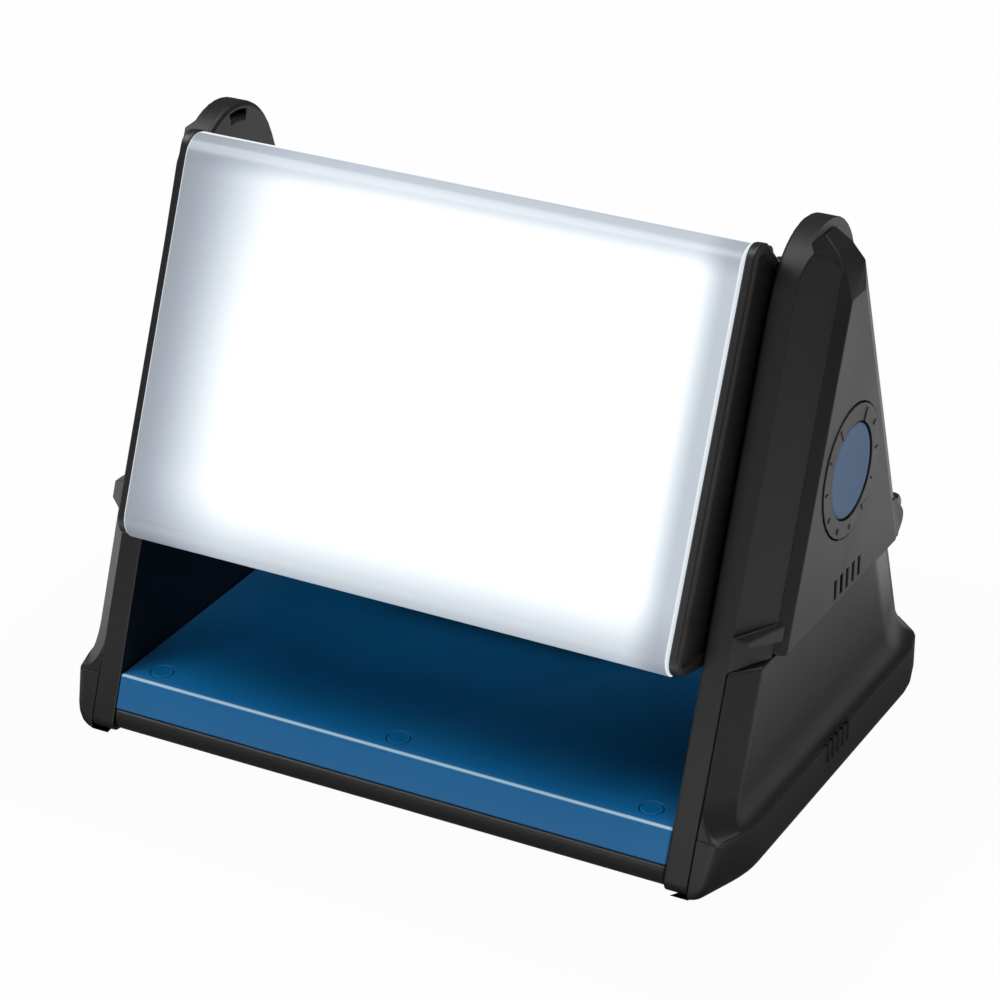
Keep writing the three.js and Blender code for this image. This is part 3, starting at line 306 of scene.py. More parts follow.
# %% A recipe for moulded plastics
def moulded(name, dark, light, shine=(0.42, 0.55), grain=2600, depth=0.12, wear=0.0,
            specular=0.5):
    """Moulded plastic: two close tones, a fine grain and slightly worn, lighter edges."""
    material, tree, shader = new_material(name)
    place = object_place(tree)
    drift = noise(tree, place, 38, detail=4, roughness=0.6)
    colour = ramp(tree, drift, [(0.32, dark), (0.68, light)]).outputs[0]
    if wear:
        edge = ramp(tree, tree.nodes.new("ShaderNodeNewGeometry").outputs["Pointiness"],
                    [(0.515, (0, 0, 0)), (0.60, (1, 1, 1))])
        lightened = [min(1, tone + wear) for tone in light]
        colour = mixed_colour(tree, edge.outputs[0], colour, lightened)
    tree.links.new(colour, shader.inputs["Base Color"])
    tree.links.new(mapped(tree, drift, 0, 1, *shine, smooth=False), shader.inputs["Roughness"])
    add_bump(tree, shader, noise(tree, place, grain, detail=2), depth, 0.12 * MM)
    shader.inputs["Specular IOR Level"].default_value = specular
    return material


stand_black = moulded("stand_black", (0.0065, 0.0065, 0.007), (0.0100, 0.0100, 0.0095),
                      wear=0.012)
satin_black = moulded("satin_black", (0.012, 0.012, 0.0125), (0.0160, 0.0160, 0.0165),
                      shine=(0.30, 0.42), depth=0.05, wear=0.01)
shelf_blue = moulded("shelf_blue", (0.001, 0.145, 0.385), (0.002, 0.162, 0.420),
                     shine=(0.26, 0.36), grain=1500, depth=0.05, wear=0.05, specular=0.15)
button_blue = moulded("button_blue", (0.100, 0.190, 0.340), (0.112, 0.210, 0.370),
                      shine=(0.5, 0.65), depth=0.08, specular=0.3)
rubber_black = moulded("rubber_black", (0.010, 0.010, 0.011), (0.017, 0.017, 0.018),
                       shine=(0.6, 0.8), grain=1800, depth=0.3)
inner_white = moulded("inner_white", (0.80, 0.80, 0.78), (0.88, 0.88, 0.86), depth=0.04)
print("six plastics mixed")

# %% [markdown]
# Turned and pressed metal differs from plastic in its direction: a lathe leaves rings and a
# press leaves long lines. A wave texture could give either, but it looks too even. Noise that
# is drawn out along one axis gives the lines, and drawn out across a turned part it gives
# the rings. Zinc plating has no direction, so the screws keep the noise as it is.

# %% A recipe for metals
def metal(name, tone, stretch=(1, 1, 1)):
    """Metal with fine tool marks, drawn out along each axis whose stretch is small."""
    material, tree, shader = new_material(name)
    drawn_out = tree.nodes.new("ShaderNodeMapping")
    drawn_out.inputs["Scale"].default_value = stretch
    tree.links.new(object_place(tree), drawn_out.inputs["Vector"])
    marks = noise(tree, drawn_out.outputs[0], 1400, detail=3, roughness=0.6)
    darker = [part * 0.82 for part in tone]
    tones = ramp(tree, marks, [(0.3, darker), (0.7, tone)])
    tree.links.new(tones.outputs[0], shader.inputs["Base Color"])
    tree.links.new(mapped(tree, marks, 0, 1, 0.25, 0.42, smooth=False),
                   shader.inputs["Roughness"])
    add_bump(tree, shader, marks, 0.15, 0.05 * MM)
    shader.inputs["Metallic"].default_value = 1.0
    return material


zinc_steel = metal("zinc_steel", (0.52, 0.53, 0.54))
turned_steel = metal("turned_steel", (0.58, 0.59, 0.60), stretch=(1, 0.08, 0.08))
pressed_aluminium = metal("pressed_aluminium", (0.72, 0.73, 0.74), stretch=(0.05, 1, 1))
tinned_copper = metal("tinned_copper", (0.62, 0.40, 0.24), stretch=(1, 0.1, 1))
print("four metals mixed")

# %% [markdown]
# A circuit board is glass cloth under a coloured film, and the copper tracks under the film
# show as slightly lighter, raised lanes. A brick pattern would do, but Voronoi cells whose
# distance is measured in squares look less regular and more like real tracks. The wrap of a
# cell is a shiny plastic film, so it takes the recipe for plastics.

# %% Boards and cell wrap
def board(name, film, track):
    """Coloured film over copper tracks."""
    material, tree, shader = new_material(name)
    lanes = add_node(tree, "ShaderNodeTexVoronoi", Scale=260)
    lanes.distance = "CHEBYCHEV"
    tree.links.new(object_place(tree), lanes.inputs["Vector"])
    tones = ramp(tree, lanes.outputs["Distance"], [(0.42, film), (0.5, track)])
    tones.color_ramp.interpolation = "EASE"
    tree.links.new(tones.outputs[0], shader.inputs["Base Color"])
    add_bump(tree, shader, tones.outputs[0], 0.3, 0.04 * MM)
    shader.inputs["Roughness"].default_value = 0.35
    return material


green_board = board("green_board", (0.012, 0.095, 0.040), (0.020, 0.150, 0.060))
white_board = board("white_board", (0.76, 0.80, 0.80), (0.84, 0.87, 0.87))
cell_wrap = moulded("cell_wrap", (0.020, 0.260, 0.300), (0.030, 0.300, 0.340),
                    shine=(0.18, 0.3), grain=900, depth=0.08)
print("boards and cell wrap mixed")

# %% [markdown]
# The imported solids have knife-sharp edges, and no moulding does: a cutter leaves a radius in
# the mould, and the highlight that runs along it is what makes plastic look solid. The
# solids could be rounded themselves, but they stay as they are. Each one is copied, its loose
# triangles are welded, flat faces are joined, and a bevel rounds what is still sharp.

# %% Weld a solid and round its edges
SHARP = math.radians(24)
FLAT = math.radians(0.4)
WELD = 0.002 * MM
SHORTEST_EDGE = 0.01 * MM


def welded(node):
    """A solid's loose triangles as one mesh with whole flat faces."""
    bm = bmesh.new()
    bm.from_mesh(nodes[node].data)
    bmesh.ops.remove_doubles(bm, verts=bm.verts, dist=WELD)
    bmesh.ops.dissolve_limit(bm, angle_limit=FLAT, verts=bm.verts, edges=bm.edges)
    return bm


def body_with(node):
    bodies = frame["record"]["behaviour"]["bodies"]
    return next(name for name, held in bodies.items() if node in held)


def settle(bm, node, made, finish, width=0, wider=None, segments=2):
    """Makes a bmesh into the piece that stands for a solid and rides on the same body.

    Its sharp edges are rounded to a width in mm. wider is a test that picks edges, and the
    width that those get.
    """
    picked, wide = wider or (None, 0)
    widest = max(width, wide)
    weights = bm.edges.layers.float.new("bevel_weight_edge")
    for edge in bm.edges:
        if widest and len(edge.link_faces) == 2 and edge.calc_face_angle() > SHARP:
            edge[weights] = (wide if picked and picked(edge) else width) / widest
    mesh = bpy.data.meshes.new(f"{node}_{made}")
    bm.to_mesh(mesh)
    bm.free()
    mesh.shade_smooth()
    mesh.set_sharp_from_angle(angle=SHARP)
    mesh.materials.append(finish)
    piece = bpy.data.objects.new(mesh.name, mesh)
    bpy.context.scene.collection.objects.link(piece)
    if widest:
        rounding = piece.modifiers.new("edges", "BEVEL")
        rounding.width = widest * MM
        rounding.segments = segments
        rounding.limit_method = "WEIGHT"
        rounding.use_clamp_overlap = False
        flat = piece.modifiers.new("flat_faces", "WEIGHTED_NORMAL")
        flat.weight = 100
        flat.keep_sharp = True
    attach(piece, body_with(node))
    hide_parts(node)
    print(piece.name, len(mesh.polygons), "faces")


def softened(node, width, finish, wider=None, segments=2):
    """A copy of a solid with rounded edges, which stands for the solid."""
    bm = welded(node)
    bmesh.ops.dissolve_degenerate(bm, edges=bm.edges, dist=SHORTEST_EDGE)
    settle(bm, node, "moulding", finish, width, wider, segments)


print("the shelf comes in as", len(nodes["tray"].data.polygons), "loose triangles")

# %% [markdown]
# Two kinds of edge are rounder than the rest: the rim that runs down the front of each ear and
# over its top, and the shoulders that round the top of each cover. They could be picked by
# hand, but a list of edge numbers breaks as soon as the solid changes. A test on where an
# edge lies still holds then. The sloping lines and the circle that it needs are those of the
# solids' own drawing.

# %% Pick the rounder edges
FRONT_SLOPE = 0.38
REAR_SLOPE = 0.36
FRONT_FOOT = -106.63 * MM
REAR_FOOT = 93.87 * MM
CHEEK_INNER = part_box("cheek_frame_right")[0][0]
APEX = Vector((-4.357, 193.138)) * MM
APEX_RADIUS = 27 * MM
FOOT_CORNER = 8 * MM
SHOULDER_FOOT, SHOULDER_TOP = 190 * MM, 215.5 * MM
NEAR_LINE = 0.3 * MM
NEAR_FACE = 0.1 * MM
ROUNDER = 2.0


def front_line(z):
    """Where the stand's sloping front is, at a height."""
    return FRONT_FOOT + FRONT_SLOPE * z


def rear_line(z):
    return REAR_FOOT - REAR_SLOPE * z


def on_ear_rim(edge):
    """True for the inner edge that runs down an ear's front and over its top."""
    for x, y, z in (vert.co for vert in edge.verts):
        front = abs(y - front_line(z))
        top = abs(math.hypot(y - APEX.x, z - APEX.y) - APEX_RADIUS)
        on_line = min(front, top) < NEAR_LINE and z > FOOT_CORNER
        if not on_line or abs(abs(x) - CHEEK_INNER) > NEAR_FACE:
            return False
    return True


def on_shoulder(edge):
    """True for the edges between the facets that round the top of a cover and its cheek."""
    first, second = (vert.co for vert in edge.verts)
    within = SHOULDER_FOOT < min(first.z, second.z) and max(first.z, second.z) < SHOULDER_TOP
    return within and abs(second.y - first.y) > 0.9 * edge.calc_length()


def on_rim_or_shoulder(edge):
    return on_ear_rim(edge) or on_shoulder(edge)


for side in ("left", "right"):
    softened(f"cheek_frame_{side}", 0.35, stand_black, (on_rim_or_shoulder, ROUNDER), 4)
    softened(f"cover_{side}", 0.5, stand_black, (on_shoulder, ROUNDER), 4)

# %% [markdown]
# All other mouldings get one width for all their edges, from 0.15 mm on the dial, where the
# photograph shows a crisp edge, to 0.8 mm on the pan that takes the knocks. One width for the
# whole lamp would be simpler, but it would swallow the small pieces or leave the large ones
# sharp.

# %% Round the other mouldings
for node, width, finish in (
    ("panel_cap_left", 0.7, satin_black),
    ("panel_cap_right", 0.7, satin_black),
    ("handle_arm_left", 0.6, satin_black),
    ("handle_arm_right", 0.6, satin_black),
    ("base_pan", 0.8, stand_black),
    ("rear_cover", 0.5, stand_black),
    ("panel_shell", 0.5, stand_black),
    ("tray", 0.6, shelf_blue),
    ("battery_bay", 0.4, stand_black),
    ("dimmer_ring", 0.15, stand_black),
    ("contact_block", 0.3, satin_black),
    ("power_switch", 0.2, satin_black),
    ("dimmer_encoder", 0.3, inner_white),
    ("reflector", 0.3, inner_white),
    ("cell_holder_left", 0.3, inner_white),
    ("cell_holder_right", 0.3, inner_white),
):
    softened(node, width, finish)

# %% [markdown]
# The skirt is one moulding: a wall with a blunt nose in front and a taper behind, which sweeps
# out into a bumper rim. Planes could only cut that hollow sweep into facets. So outlines of
# the skirt are drawn at rising heights, each with the same number of points, one after the
# shape of the rim and one after that of the wall.

# %% Outlines of the skirt
SKIRT_LOW, SKIRT_HIGH = (Vector(corner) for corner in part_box("skirt_right"))
WALL_OUT = SKIRT_LOW.x + 9.1 * MM
RIM_OUT = SKIRT_LOW.x + 14.4 * MM
RIM_TOP = 22.8 * MM
CORNER_STEPS = 4


def rounded_path(corners):
    """Points along a path whose inner corners, given as (x, y, reach), are rounded."""
    points = [Vector(corners[0][:2])]
    for before, (x, y, reach), after in zip(corners, corners[1:-1], corners[2:]):
        middle = Vector((x, y))
        start = middle + (Vector(before[:2]) - middle).normalized() * reach
        end = middle + (Vector(after[:2]) - middle).normalized() * reach
        for step in range(CORNER_STEPS + 1):
            t = step / CORNER_STEPS
            points.append(start * (1 - t) ** 2 + middle * 2 * t * (1 - t) + end * t ** 2)
    points.append(Vector(corners[-1][:2]))
    return points


def rim_path(z, inset):
    """From the cheek round the nose, along the rim and round the taper, back to the cheek."""
    front = front_line(z) + 0.4 * inset
    nose = SKIRT_LOW.x + 5.8 * MM + 0.15 * z - inset
    return rounded_path([
        (SKIRT_LOW.x, front),
        (nose, front, 3.2 * MM),
        (RIM_OUT - inset, FRONT_FOOT + 26 * MM, 7 * MM),
        (RIM_OUT - inset, FRONT_FOOT + 170.5 * MM, 4 * MM),
        (SKIRT_LOW.x + 10.7 * MM - inset, FRONT_FOOT + 183 * MM - inset, 3 * MM),
        (SKIRT_LOW.x, rear_line(RIM_TOP) - inset),
    ])


def wall_path(z, inset):
    """The same way round the wall, which steps out a little from the cheek first."""
    front = front_line(z) + inset
    rear = rear_line(z) - inset
    return rounded_path([
        (SKIRT_LOW.x, front + 0.9 * MM),
        (SKIRT_LOW.x + 0.5 * MM, front + 1.5 * MM, 0.3 * MM),
        (WALL_OUT - inset, front + 11 * MM, 1.2 * MM),
        (WALL_OUT - inset, rear - 33 * MM, 3 * MM),
        (WALL_OUT - 7 * MM - inset, rear - 11.2 * MM, 0.5 * MM),
        (SKIRT_LOW.x, rear - 4.7 * MM),
    ])


print("each outline has", len(rim_path(RIM_TOP, 0)), "points")

# %% [markdown]
# Between rim and wall the outlines pass from one shape to the other along a quarter circle,
# and the rim's foot is a quarter of an ellipse. A curve object could be lofted by hand, but
# bridging each ring of edges to the next gives the same skin and keeps its heights exact.
# Small ribs on the rim are rounded blocks sunk into it.

# %% Join the outlines into a skirt
FOOT_HIGH, FOOT_DEEP = 8 * MM, 5 * MM
SWEEP_TOP = 36.0 * MM
TOP_EDGE = 0.5 * MM
RIB_SIZE = (3.6 * MM, 1.7 * MM, 8.4 * MM)
RIB_OUT = SKIRT_HIGH.x - 1.85 * MM
RIB_HEIGHT = RIM_TOP - 3.3 * MM
RIB_EDGE = 0.45 * MM
RIB_PITCH = 4.5 * MM
FIRST_RIB = APEX.x - 12 * MM


def skirt_levels():
    """From floor to cover: height, share of the rim's outline, and inset."""
    levels = []
    for degrees in (0, 22.5, 45, 67.5, 90):
        angle = math.radians(degrees)
        height = SKIRT_LOW.z + FOOT_HIGH * (1 - math.cos(angle))
        levels.append((height, 1, FOOT_DEEP * (1 - math.sin(angle))))
    # The rim's upper edge is rounded too, but less.
    levels += [(22.0 * MM, 1, 0), (22.5 * MM, 1, 0.2 * MM), (RIM_TOP, 1, 0.9 * MM)]
    for degrees in range(80, -1, -10):
        angle = math.radians(degrees)
        height = SWEEP_TOP - (SWEEP_TOP - RIM_TOP) * math.sin(angle)
        levels.append((height, 1 - math.cos(angle), 0))
    return levels + [(SKIRT_HIGH.z - TOP_EDGE, 0, 0), (SKIRT_HIGH.z, 0, TOP_EDGE)]


def joined_rings(bm, rings):
    """A closed skin over rings of points, with a cap at each end."""
    loops = []
    for ring in rings:
        verts = [bm.verts.new(point) for point in ring]
        loops.append([bm.edges.new(pair) for pair in zip(verts, verts[1:] + verts[:1])])
    for lower, upper in zip(loops, loops[1:]):
        bmesh.ops.bridge_loops(bm, edges=lower + upper)
    for cap in (loops[0], loops[-1]):
        bmesh.ops.edgeloop_fill(bm, edges=cap)
    bmesh.ops.recalc_face_normals(bm, faces=bm.faces)


def skirt_rib(bm, y, side):
    made = bmesh.ops.create_cube(bm, size=1)["verts"]
    bmesh.ops.scale(bm, verts=made, vec=RIB_SIZE)
    bmesh.ops.translate(bm, verts=made, vec=(side * RIB_OUT, y, RIB_HEIGHT))
    edges = list({edge for vert in made for edge in vert.link_edges})
    bmesh.ops.bevel(bm, geom=edges, affect="EDGES", offset=RIB_EDGE, segments=3, profile=0.5,
                    clamp_overlap=True, material=-1)


for side, name in ((1, "right"), (-1, "left")):
    bm = bmesh.new()
    rings = []
    for z, share, inset in skirt_levels():
        outlines = zip(wall_path(z, inset), rim_path(min(z, RIM_TOP), inset))
        path = [wall.lerp(rim, share) for wall, rim in outlines]
        rings.append([(side * point.x, point.y, z) for point in path])
    joined_rings(bm, rings)
    for rib in range(5):
        skirt_rib(bm, FIRST_RIB + rib * RIB_PITCH, side)
    settle(bm, f"skirt_{name}", "moulding", stand_black, 0.3)

# %% [markdown]
# Round parts come off a lathe or out of a round mould. A cylinder with a bevel would pass from
# afar, but it lacks grooves and dished faces. So each part is drawn as half of its section,
# with its chamfers and grooves, and spun.

# %% Spin a section into a round part
def turned(bm, section, middle, axis, steps=48, ring=False):
    """Spins (place along the axis, radius) points, in mm; a ring's section is closed."""
    along = Vector(axis)
    out = along.orthogonal().normalized()
    middle = Vector(middle)
    verts = [bm.verts.new(middle + (along * place + out * radius) * MM)
             for place, radius in section]
    pairs = list(zip(verts, verts[1:])) + ([(verts[-1], verts[0])] if ring else [])
    edges = [bm.edges.new(pair) for pair in pairs]
    bmesh.ops.spin(bm, geom=verts + edges, cent=middle, axis=along, angle=math.tau, steps=steps,
                   use_merge=True)
    bmesh.ops.remove_doubles(bm, verts=bm.verts, dist=0.001 * MM)
    bmesh.ops.recalc_face_normals(bm, faces=bm.faces)


def turned_piece(node, section, middle, axis, finish, steps=48, ring=False):
    bm = bmesh.new()
    turned(bm, section, middle, axis, steps, ring)
    settle(bm, node, "turned", finish)


def extent(node):
    """The low corner, the high corner and the centre of a solid."""
    low, high = (Vector(corner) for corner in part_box(node))
    return low, high, (low + high) / 2


foot_low, foot_high, _ = extent("foot_1")
print("a foot is", [round(side / MM, 1) for side in foot_high - foot_low], "mm")

# %% [markdown]
# A rubber foot grips with an edge, not with a flat. A plain disc would look right from above,
# but the lamp is also seen from below. So its sole has a groove and a hollow centre, and its
# rim is rounded so that it doesn't peel when the lamp is dragged.

# %% Rubber feet
FOOT_SECTION = [
    (0.6, 0), (0.6, 2.2), (0, 3), (0, 5.2), (0.5, 5.6), (0.5, 6.4), (0, 6.8), (0, 8.3),
    (0.2, 8.8), (0.6, 9), (1.1, 9), (1.5, 8.8), (1.7, 8.4), (1.7, 3), (6.4, 3), (7, 2.4), (7, 0),
]
for k in range(1, 5):
    low, high, middle = extent(f"foot_{k}")
    turned_piece(f"foot_{k}", FOOT_SECTION, (middle.x, middle.y, 0), (0, 0, 1), rubber_black)

# %% [markdown]
# The grip is a rubber sleeve pulled over the handle's bar. It could be smooth, but a hand in a
# glove holds ribs better. The bar's ends are rounded, and a groove by each arm takes a clip.

# %% Handle bar and ribbed grip
GRIP_BORE = 5.3
RIB_STEP, RIB_WIDE, RIB_DEEP = 5.0, 3.0, 0.7
FLANK = 0.4
SLEEVE_EDGE = 0.6
CLIP_FROM_ARM = 0.8


def ribbed_sleeve(half, outer):
    """The closed section of a sleeve with grooves cut round it, in mm."""
    edge = outer - SLEEVE_EDGE
    section = [(-half, GRIP_BORE), (-half, edge), (-half + SLEEVE_EDGE, outer)]
    place = -half + RIB_STEP
    while place < half - RIB_STEP:
        next_rib = place + RIB_STEP - RIB_WIDE
        section += [(place, outer), (place + FLANK, outer - RIB_DEEP),
                    (next_rib - FLANK, outer - RIB_DEEP), (next_rib, outer)]
        place += RIB_STEP
    return section + [(half - SLEEVE_EDGE, outer), (half, edge), (half, GRIP_BORE)]


low, high, middle = extent("handle_grip")
sleeve = ribbed_sleeve((high.x - low.x) / 2 / MM, (high.z - low.z) / 2 / MM)
turned_piece("handle_grip", sleeve, middle, (1, 0, 0), rubber_black, ring=True)

low, high, middle = extent("handle_bar")
end = high.x / MM
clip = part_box("handle_arm_right")[0][0] / MM - CLIP_FROM_ARM
half_bar = [(clip - 0.9, 5), (clip - 0.8, 4.4), (clip, 4.4), (clip + 0.1, 5),
            (end - 2, 5), (end - 1, 4.7), (end - 0.3, 3.9), (end, 2.8), (end, 0)]
bar_section = [(-place, radius) for place, radius in reversed(half_bar)] + half_bar
turned_piece("handle_bar", bar_section, middle, (1, 0, 0), satin_black)

# %% [markdown]
# Studs and pins are turned steel. A plain rod would turn as well in its hole, but a lathe part
# shows what it is for: the panel's studs have a groove for a friction washer, and the
# handle's pins have a low domed head on the inside.

# %% Studs and pins
STUD_SECTION = [
    (0, 0), (0, 4.4), (0.6, 5), (5.6, 5), (5.9, 4.7), (6.3, 4.7), (6.6, 5), (13.9, 5),
    (14.5, 4.4), (14.5, 0),
]
PIN_SECTION = [
    (0, 0), (0, 2), (0.3, 4.2), (0.9, 5.5), (1.5, 6), (2, 6), (2, 4), (14.4, 4), (15, 3.4),
    (15, 0),
]
for side, name in ((1, "right"), (-1, "left")):
    for kind, section in (("pivot_stud", STUD_SECTION), ("handle_pin", PIN_SECTION)):
        low, high, middle = extent(f"{kind}_{name}")
        start = low.x if side > 0 else high.x
        turned_piece(f"{kind}_{name}", section, (start, middle.y, middle.z), (side, 0, 0),
                     turned_steel)

# %% [markdown]
# The shelf is held by pan-head screws under round plugs. A recess could be cut with a boolean.
# Here the ring of points round the recess is pushed into a four-lobed star instead, which
# keeps the mesh clean.

# %% Screws and plugs
HEAD_HIGH = 2.0
RECESS = (0.9 * MM, 1.35 * MM)


def screw(node):
    """A pan-head screw in place of a solid, with its point down."""
    low, high, middle = extent(node)
    top = (high.z - low.z) / MM
    head = top - HEAD_HIGH
    section = [
        (0, 0), (0.9, 1.1), (1.4, 1.5), (head, 1.5), (head, 3.2), (head + 0.2, 3.4),
        (head + 1.0, 3.3), (head + 1.6, 2.9), (top, 1.9), (top, 1.3), (head + 0.7, 1.0),
        (head + 0.7, 0),
    ]
    bm = bmesh.new()
    turned(bm, section, (middle.x, middle.y, low.z), (0, 0, 1), steps=32)
    for vert in bm.verts:
        out = Vector((vert.co.x - middle.x, vert.co.y - middle.y))
        if vert.co.z > low.z + (head + 0.6) * MM and RECESS[0] < out.length < RECESS[1]:
            lobe = 0.45 + 0.75 * math.cos(2 * math.atan2(out.y, out.x)) ** 2
            vert.co.x = middle.x + out.x * lobe
            vert.co.y = middle.y + out.y * lobe
    settle(bm, node, "turned", zinc_steel)


for node in ("tray_screw_1", "tray_screw_2", "tray_screw_3", "rear_screw_1", "rear_screw_2"):
    screw(node)

PLUG_SECTION = [
    (0, 0), (0, 4.0), (0.15, 4.2), (0.85, 4.2), (1.1, 4.05), (1.2, 3.7), (1.0, 2.8), (0.95, 0),
]
for k in (1, 2, 3):
    low, high, middle = extent(f"tray_plug_{k}")
    turned_piece(f"tray_plug_{k}", PLUG_SECTION, (middle.x, middle.y, low.z), (0, 0, 1),
                 shelf_blue)

# %% [markdown]
# The push button is soft to the touch and slightly dished, so that a thumb finds its middle.
# A flat disc would catch the light all at once. Its edge is rounded, which draws the thin
# light line round it, and its flange keeps it in.

# %% Power button
BUTTON_SECTION = [
    (0, 0), (0, 19.2), (0.5, 19.7), (1.5, 19.7), (1.5, 17.7), (8.9, 17.7), (9.3, 17.5),
    (9.55, 17.0), (9.6, 16.3), (9.5, 15.0), (9.3, 10), (9.2, 5), (9.15, 0),
]
low, high, middle = extent("power_button")
turned_piece("power_button", BUTTON_SECTION, (low.x, middle.y, middle.z), (1, 0, 0),
             button_blue, steps=96)

# %% [markdown]
# Fingers pull the pack out by its end and squeeze a button on each side, so those faces have
# grooves. They could be drawn by a bump, but at this size the light has to fall into them.
# Cutting planes divide a flat face into strips, and every other strip is pushed in.

# %% Cut grooves into a flat face
X, Y, Z = range(3)
GROOVE_FLANK = 0.15 * MM


def grooved(bm, axis, level, span, heights, count, depth):
    """Pushes strips, side by side, into the upright face at a level of X or Y."""
    across = Y if axis == X else X
    first, last = span
    pitch = (last - first) / (2 * count - 1)

    def flat_faces():
        return [face for face in bm.faces
                if all(abs(vert.co[axis] - level) < 0.01 * MM for vert in face.verts)]

    def split(direction, place):
        normal = Vector((0, 0, 0))
        normal[direction] = 1
        faces = flat_faces()
        edges = list({edge for face in faces for edge in face.edges})
        verts = list({vert for face in faces for vert in face.verts})
        bmesh.ops.bisect_plane(bm, geom=faces + edges + verts, dist=0.0001 * MM,
                               plane_co=normal * place, plane_no=normal)

    for k in range(2 * count):
        split(across, first + pitch * k)
    for height in heights:
        split(Z, height)
    strips = []
    for face in flat_faces():
        middle = face.calc_center_median()
        step = (middle[across] - first) / pitch
        in_strip = 0 < step < 2 * count - 1 and int(step) % 2 == 0
        if in_strip and heights[0] < middle.z < heights[1]:
            strips.append(face)
    bmesh.ops.inset_individual(bm, faces=strips, thickness=GROOVE_FLANK, depth=-depth * MM)
    print(len(strips), "grooves,", depth, "mm deep")


# %% [markdown]
# The pack's end gets two rows of deep finger grooves, one in each half of its case, and the
# rails that slide into the lamp get one long groove on each side. The release buttons could
# have ribs, but grooves keep them inside the solid's own box.

# %% Grooves of the battery pack
END_SPAN = (-26 * MM, 26 * MM)
END_HEIGHTS = {"pack_case_lower": (29 * MM, 36 * MM), "pack_case_upper": (43 * MM, 50 * MM)}
RAIL_OUT = 27 * MM
RAIL_SPAN, RAIL_HEIGHTS = (22.5 * MM, 88 * MM), (57.0 * MM, 61.5 * MM)

for node, heights in END_HEIGHTS.items():
    bm = welded(node)
    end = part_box(node)[1][Y]
    grooved(bm, Y, end, END_SPAN, heights, count=8, depth=1.1)
    if node == "pack_case_upper":
        for side in (1, -1):
            grooved(bm, X, side * RAIL_OUT, RAIL_SPAN, RAIL_HEIGHTS, count=1, depth=2.0)
    settle(bm, node, "moulding", satin_black, 0.4)

for side, name in ((1, "right"), (-1, "left")):
    node = f"pack_button_{name}"
    bm = welded(node)
    low, high, middle = extent(node)
    grooved(bm, X, high.x if side > 0 else low.x, (low.y + 3 * MM, high.y - 3 * MM),
            (low.z + 2 * MM, high.z - 2 * MM), count=5, depth=0.5)
    settle(bm, node, "moulding", rubber_black, 0.3)

# %% [markdown]
# Boards, cells, the heat sink and the contact blades are cut or drawn, not moulded, and their
# solids have the right edges already. They could be copied like the rest, but nothing would
# change on them, so each keeps its solid and only gets its finish.

# %% Finish the solids whose shape is right as it is
for names, finish in (
    (["contact_blade_1", "contact_blade_2"], tinned_copper),
    (["heat_sink"], pressed_aluminium),
    (["led_board"], white_board),
    (["control_board", "driver_board"], green_board),
    ([f"pack_cell_{k}" for k in range(1, 6)], cell_wrap),
):
    for name in names:
        mesh = nodes[name].data
        mesh.materials.clear()
        mesh.materials.append(finish)
        mesh.shade_smooth()
    print(names[0], "and", len(names) - 1, "more in", finish.name)

# %% [markdown]
# The opal cover glows evenly in the middle and fades to a cool grey at its border, because
# the light boards behind it stop short of the frame. A picture could carry that glow. A
# distance to each border, worked out in the panel's own slope, gives it at any size and
# follows the panel when it tilts.

# %% Light behind the opal cover
SLOPE = math.radians(22.3)
PANEL_FOOT = Vector((0, -99.287, 84.211)) * MM
PANEL_HALF = Vector((110, 75.4)) * MM
DIM_CORNER = (-PANEL_HALF.x, 0, PANEL_HALF.y)
DIM_REACH, DIM_LIGHT = 95 * MM, 0.66
# Where the painted highlight along the cover's edge fades, in mm from the edge, and its glow.
EDGE_HIGHLIGHT_FROM, EDGE_HIGHLIGHT_TO, EDGE_HIGHLIGHT_GLOW = 0.25 * MM, 0.65 * MM, 0.62


def panel_place(tree):
    """A point's place on the upright panel, from its middle."""
    middle = PANEL_FOOT + Vector((0, math.sin(SLOPE), math.cos(SLOPE))) * PANEL_HALF.y
    square = tree.nodes.new("ShaderNodeMapping")
    square.inputs["Rotation"].default_value = (SLOPE, 0, 0)
    square.inputs["Location"].default_value = -(Matrix.Rotation(SLOPE, 3, "X") @ middle)
    tree.links.new(object_place(tree), square.inputs["Vector"])
    return square.outputs[0]


def panel_light(tree):
    """How much light comes through, from 0 to 1, with a painted highlight along the edge."""
    place = panel_place(tree)
    axes = tree.nodes.new("ShaderNodeSeparateXYZ")
    tree.links.new(place, axes.inputs[0])
    across, _, up = axes.outputs
    # Each border has its own width: the lit rows sit nearer to the right and the top. With
    # the distance come where its fade starts and ends, in mm, and the light at its start.
    borders = (
        (add_math(tree, "ADD", PANEL_HALF.x, across), 0, 48, 0.06),
        (add_math(tree, "SUBTRACT", PANEL_HALF.x, across), 3.5, 18, 0.26),
        (add_math(tree, "SUBTRACT", PANEL_HALF.y, up), 2.5, 15, 0.20),
        (add_math(tree, "ADD", PANEL_HALF.y, up), 1, 28, 0.32),
    )
    # The far upper corner gets the least light.
    lit = mapped(tree, vector_math(tree, "DISTANCE", place, DIM_CORNER), 0, DIM_REACH,
                 DIM_LIGHT, 1)
    nearest = borders[0][0]
    for distance, start, full, least in borders:
        fade = mapped(tree, distance, start * MM, full * MM, least, 1)
        lit = add_math(tree, "MULTIPLY", lit, fade)
        nearest = add_math(tree, "MINIMUM", nearest, distance)
    # A painted highlight: a thin bright line of glow along the cover's edge, standing for the
    # light that its rounded edge reflects.
    rim = mapped(tree, nearest, EDGE_HIGHLIGHT_FROM, EDGE_HIGHLIGHT_TO, EDGE_HIGHLIGHT_GLOW, 0, smooth=False)
    return add_math(tree, "MAXIMUM", lit, rim)


print("panel is", [2 * round(half / MM, 1) for half in PANEL_HALF], "mm")

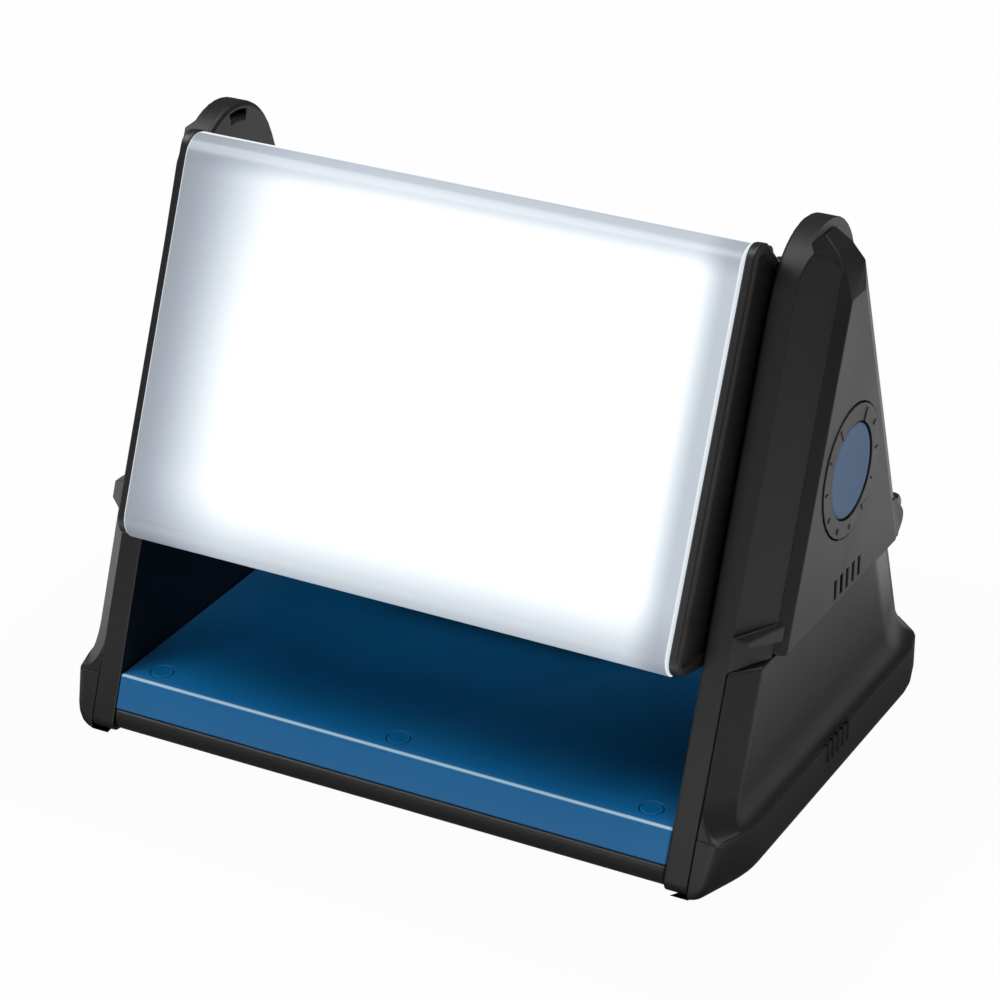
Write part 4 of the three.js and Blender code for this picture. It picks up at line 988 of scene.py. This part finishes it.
# %% [markdown]
# Opal plastic scatters the light inside it. That could be rendered with a real lamp behind a
# translucent cover, but it would need many samples and be lost in the exported model. So the
# cover's own emission carries the glow, from a cool grey to white, under a frosted skin.

# %% The glowing opal cover
def opal_glow():
    material, tree, shader = new_material("opal_glow")
    lit = panel_light(tree)
    glow = ramp(tree, lit, [
        (0.0, (0.11, 0.125, 0.15)),
        (0.15, (0.24, 0.27, 0.32)),
        (0.40, (0.46, 0.51, 0.56)),
        (0.70, (0.72, 0.77, 0.81)),
        (0.97, (1.0, 1.0, 1.0)),
    ])
    tree.links.new(glow.outputs[0], shader.inputs["Emission Color"])
    shader.inputs["Emission Strength"].default_value = 0.95
    white = ramp(tree, lit, [(0.0, (0.26, 0.28, 0.31)), (0.6, (0.38, 0.39, 0.40))])
    tree.links.new(white.outputs[0], shader.inputs["Base Color"])
    frost = noise(tree, object_place(tree), 1800, detail=2)
    add_bump(tree, shader, frost, 0.05, 0.05 * MM)
    shader.inputs["Roughness"].default_value = 0.22
    return material


softened("lens", 0.5, opal_glow())

# %% [markdown]
# The shelf's rounded front edge shows a crisp light line, and that highlight is painted
# into the colour here. The plastic's own worn edges follow sharp corners only, so this painted
# highlight gets its place from the edge: a narrow tube along it, inside which the colour is
# lighter.

# %% Painted highlight on the shelf's front edge
# The painted highlight's lighter blue, and how much of it shows at the edge.
LIP_HIGHLIGHT_BLUE = (0.60, 0.85, 0.98)
LIP_HIGHLIGHT_SHARE = 0.8


def painted_highlight_line(material, y, z, width):
    """Lightens a base colour in a narrow tube that runs along X: a painted highlight."""
    tree = material.node_tree
    colour = tree.nodes["Principled BSDF"].inputs["Base Color"]
    flat = vector_math(tree, "MULTIPLY", object_place(tree), (0, 1, 1))
    away = vector_math(tree, "DISTANCE", flat, (0, y, z))
    # Inside the tube the colour turns towards the painted highlight's lighter blue.
    share = mapped(tree, away, width * 0.4, width, LIP_HIGHLIGHT_SHARE, 0)
    lightened = mixed_colour(tree, share, colour.links[0].from_socket, LIP_HIGHLIGHT_BLUE)
    tree.links.new(lightened, colour)


shelf_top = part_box("tray")[1][Z]
shelf_front = front_line(shelf_top)
# The painted highlight runs along the shelf's front edge.
painted_highlight_line(shelf_blue, y=shelf_front + 0.5 * MM, z=shelf_top - 0.15 * MM, width=0.95 * MM)
print("shelf edge rubbed at", round(shelf_front / MM, 1), "mm")
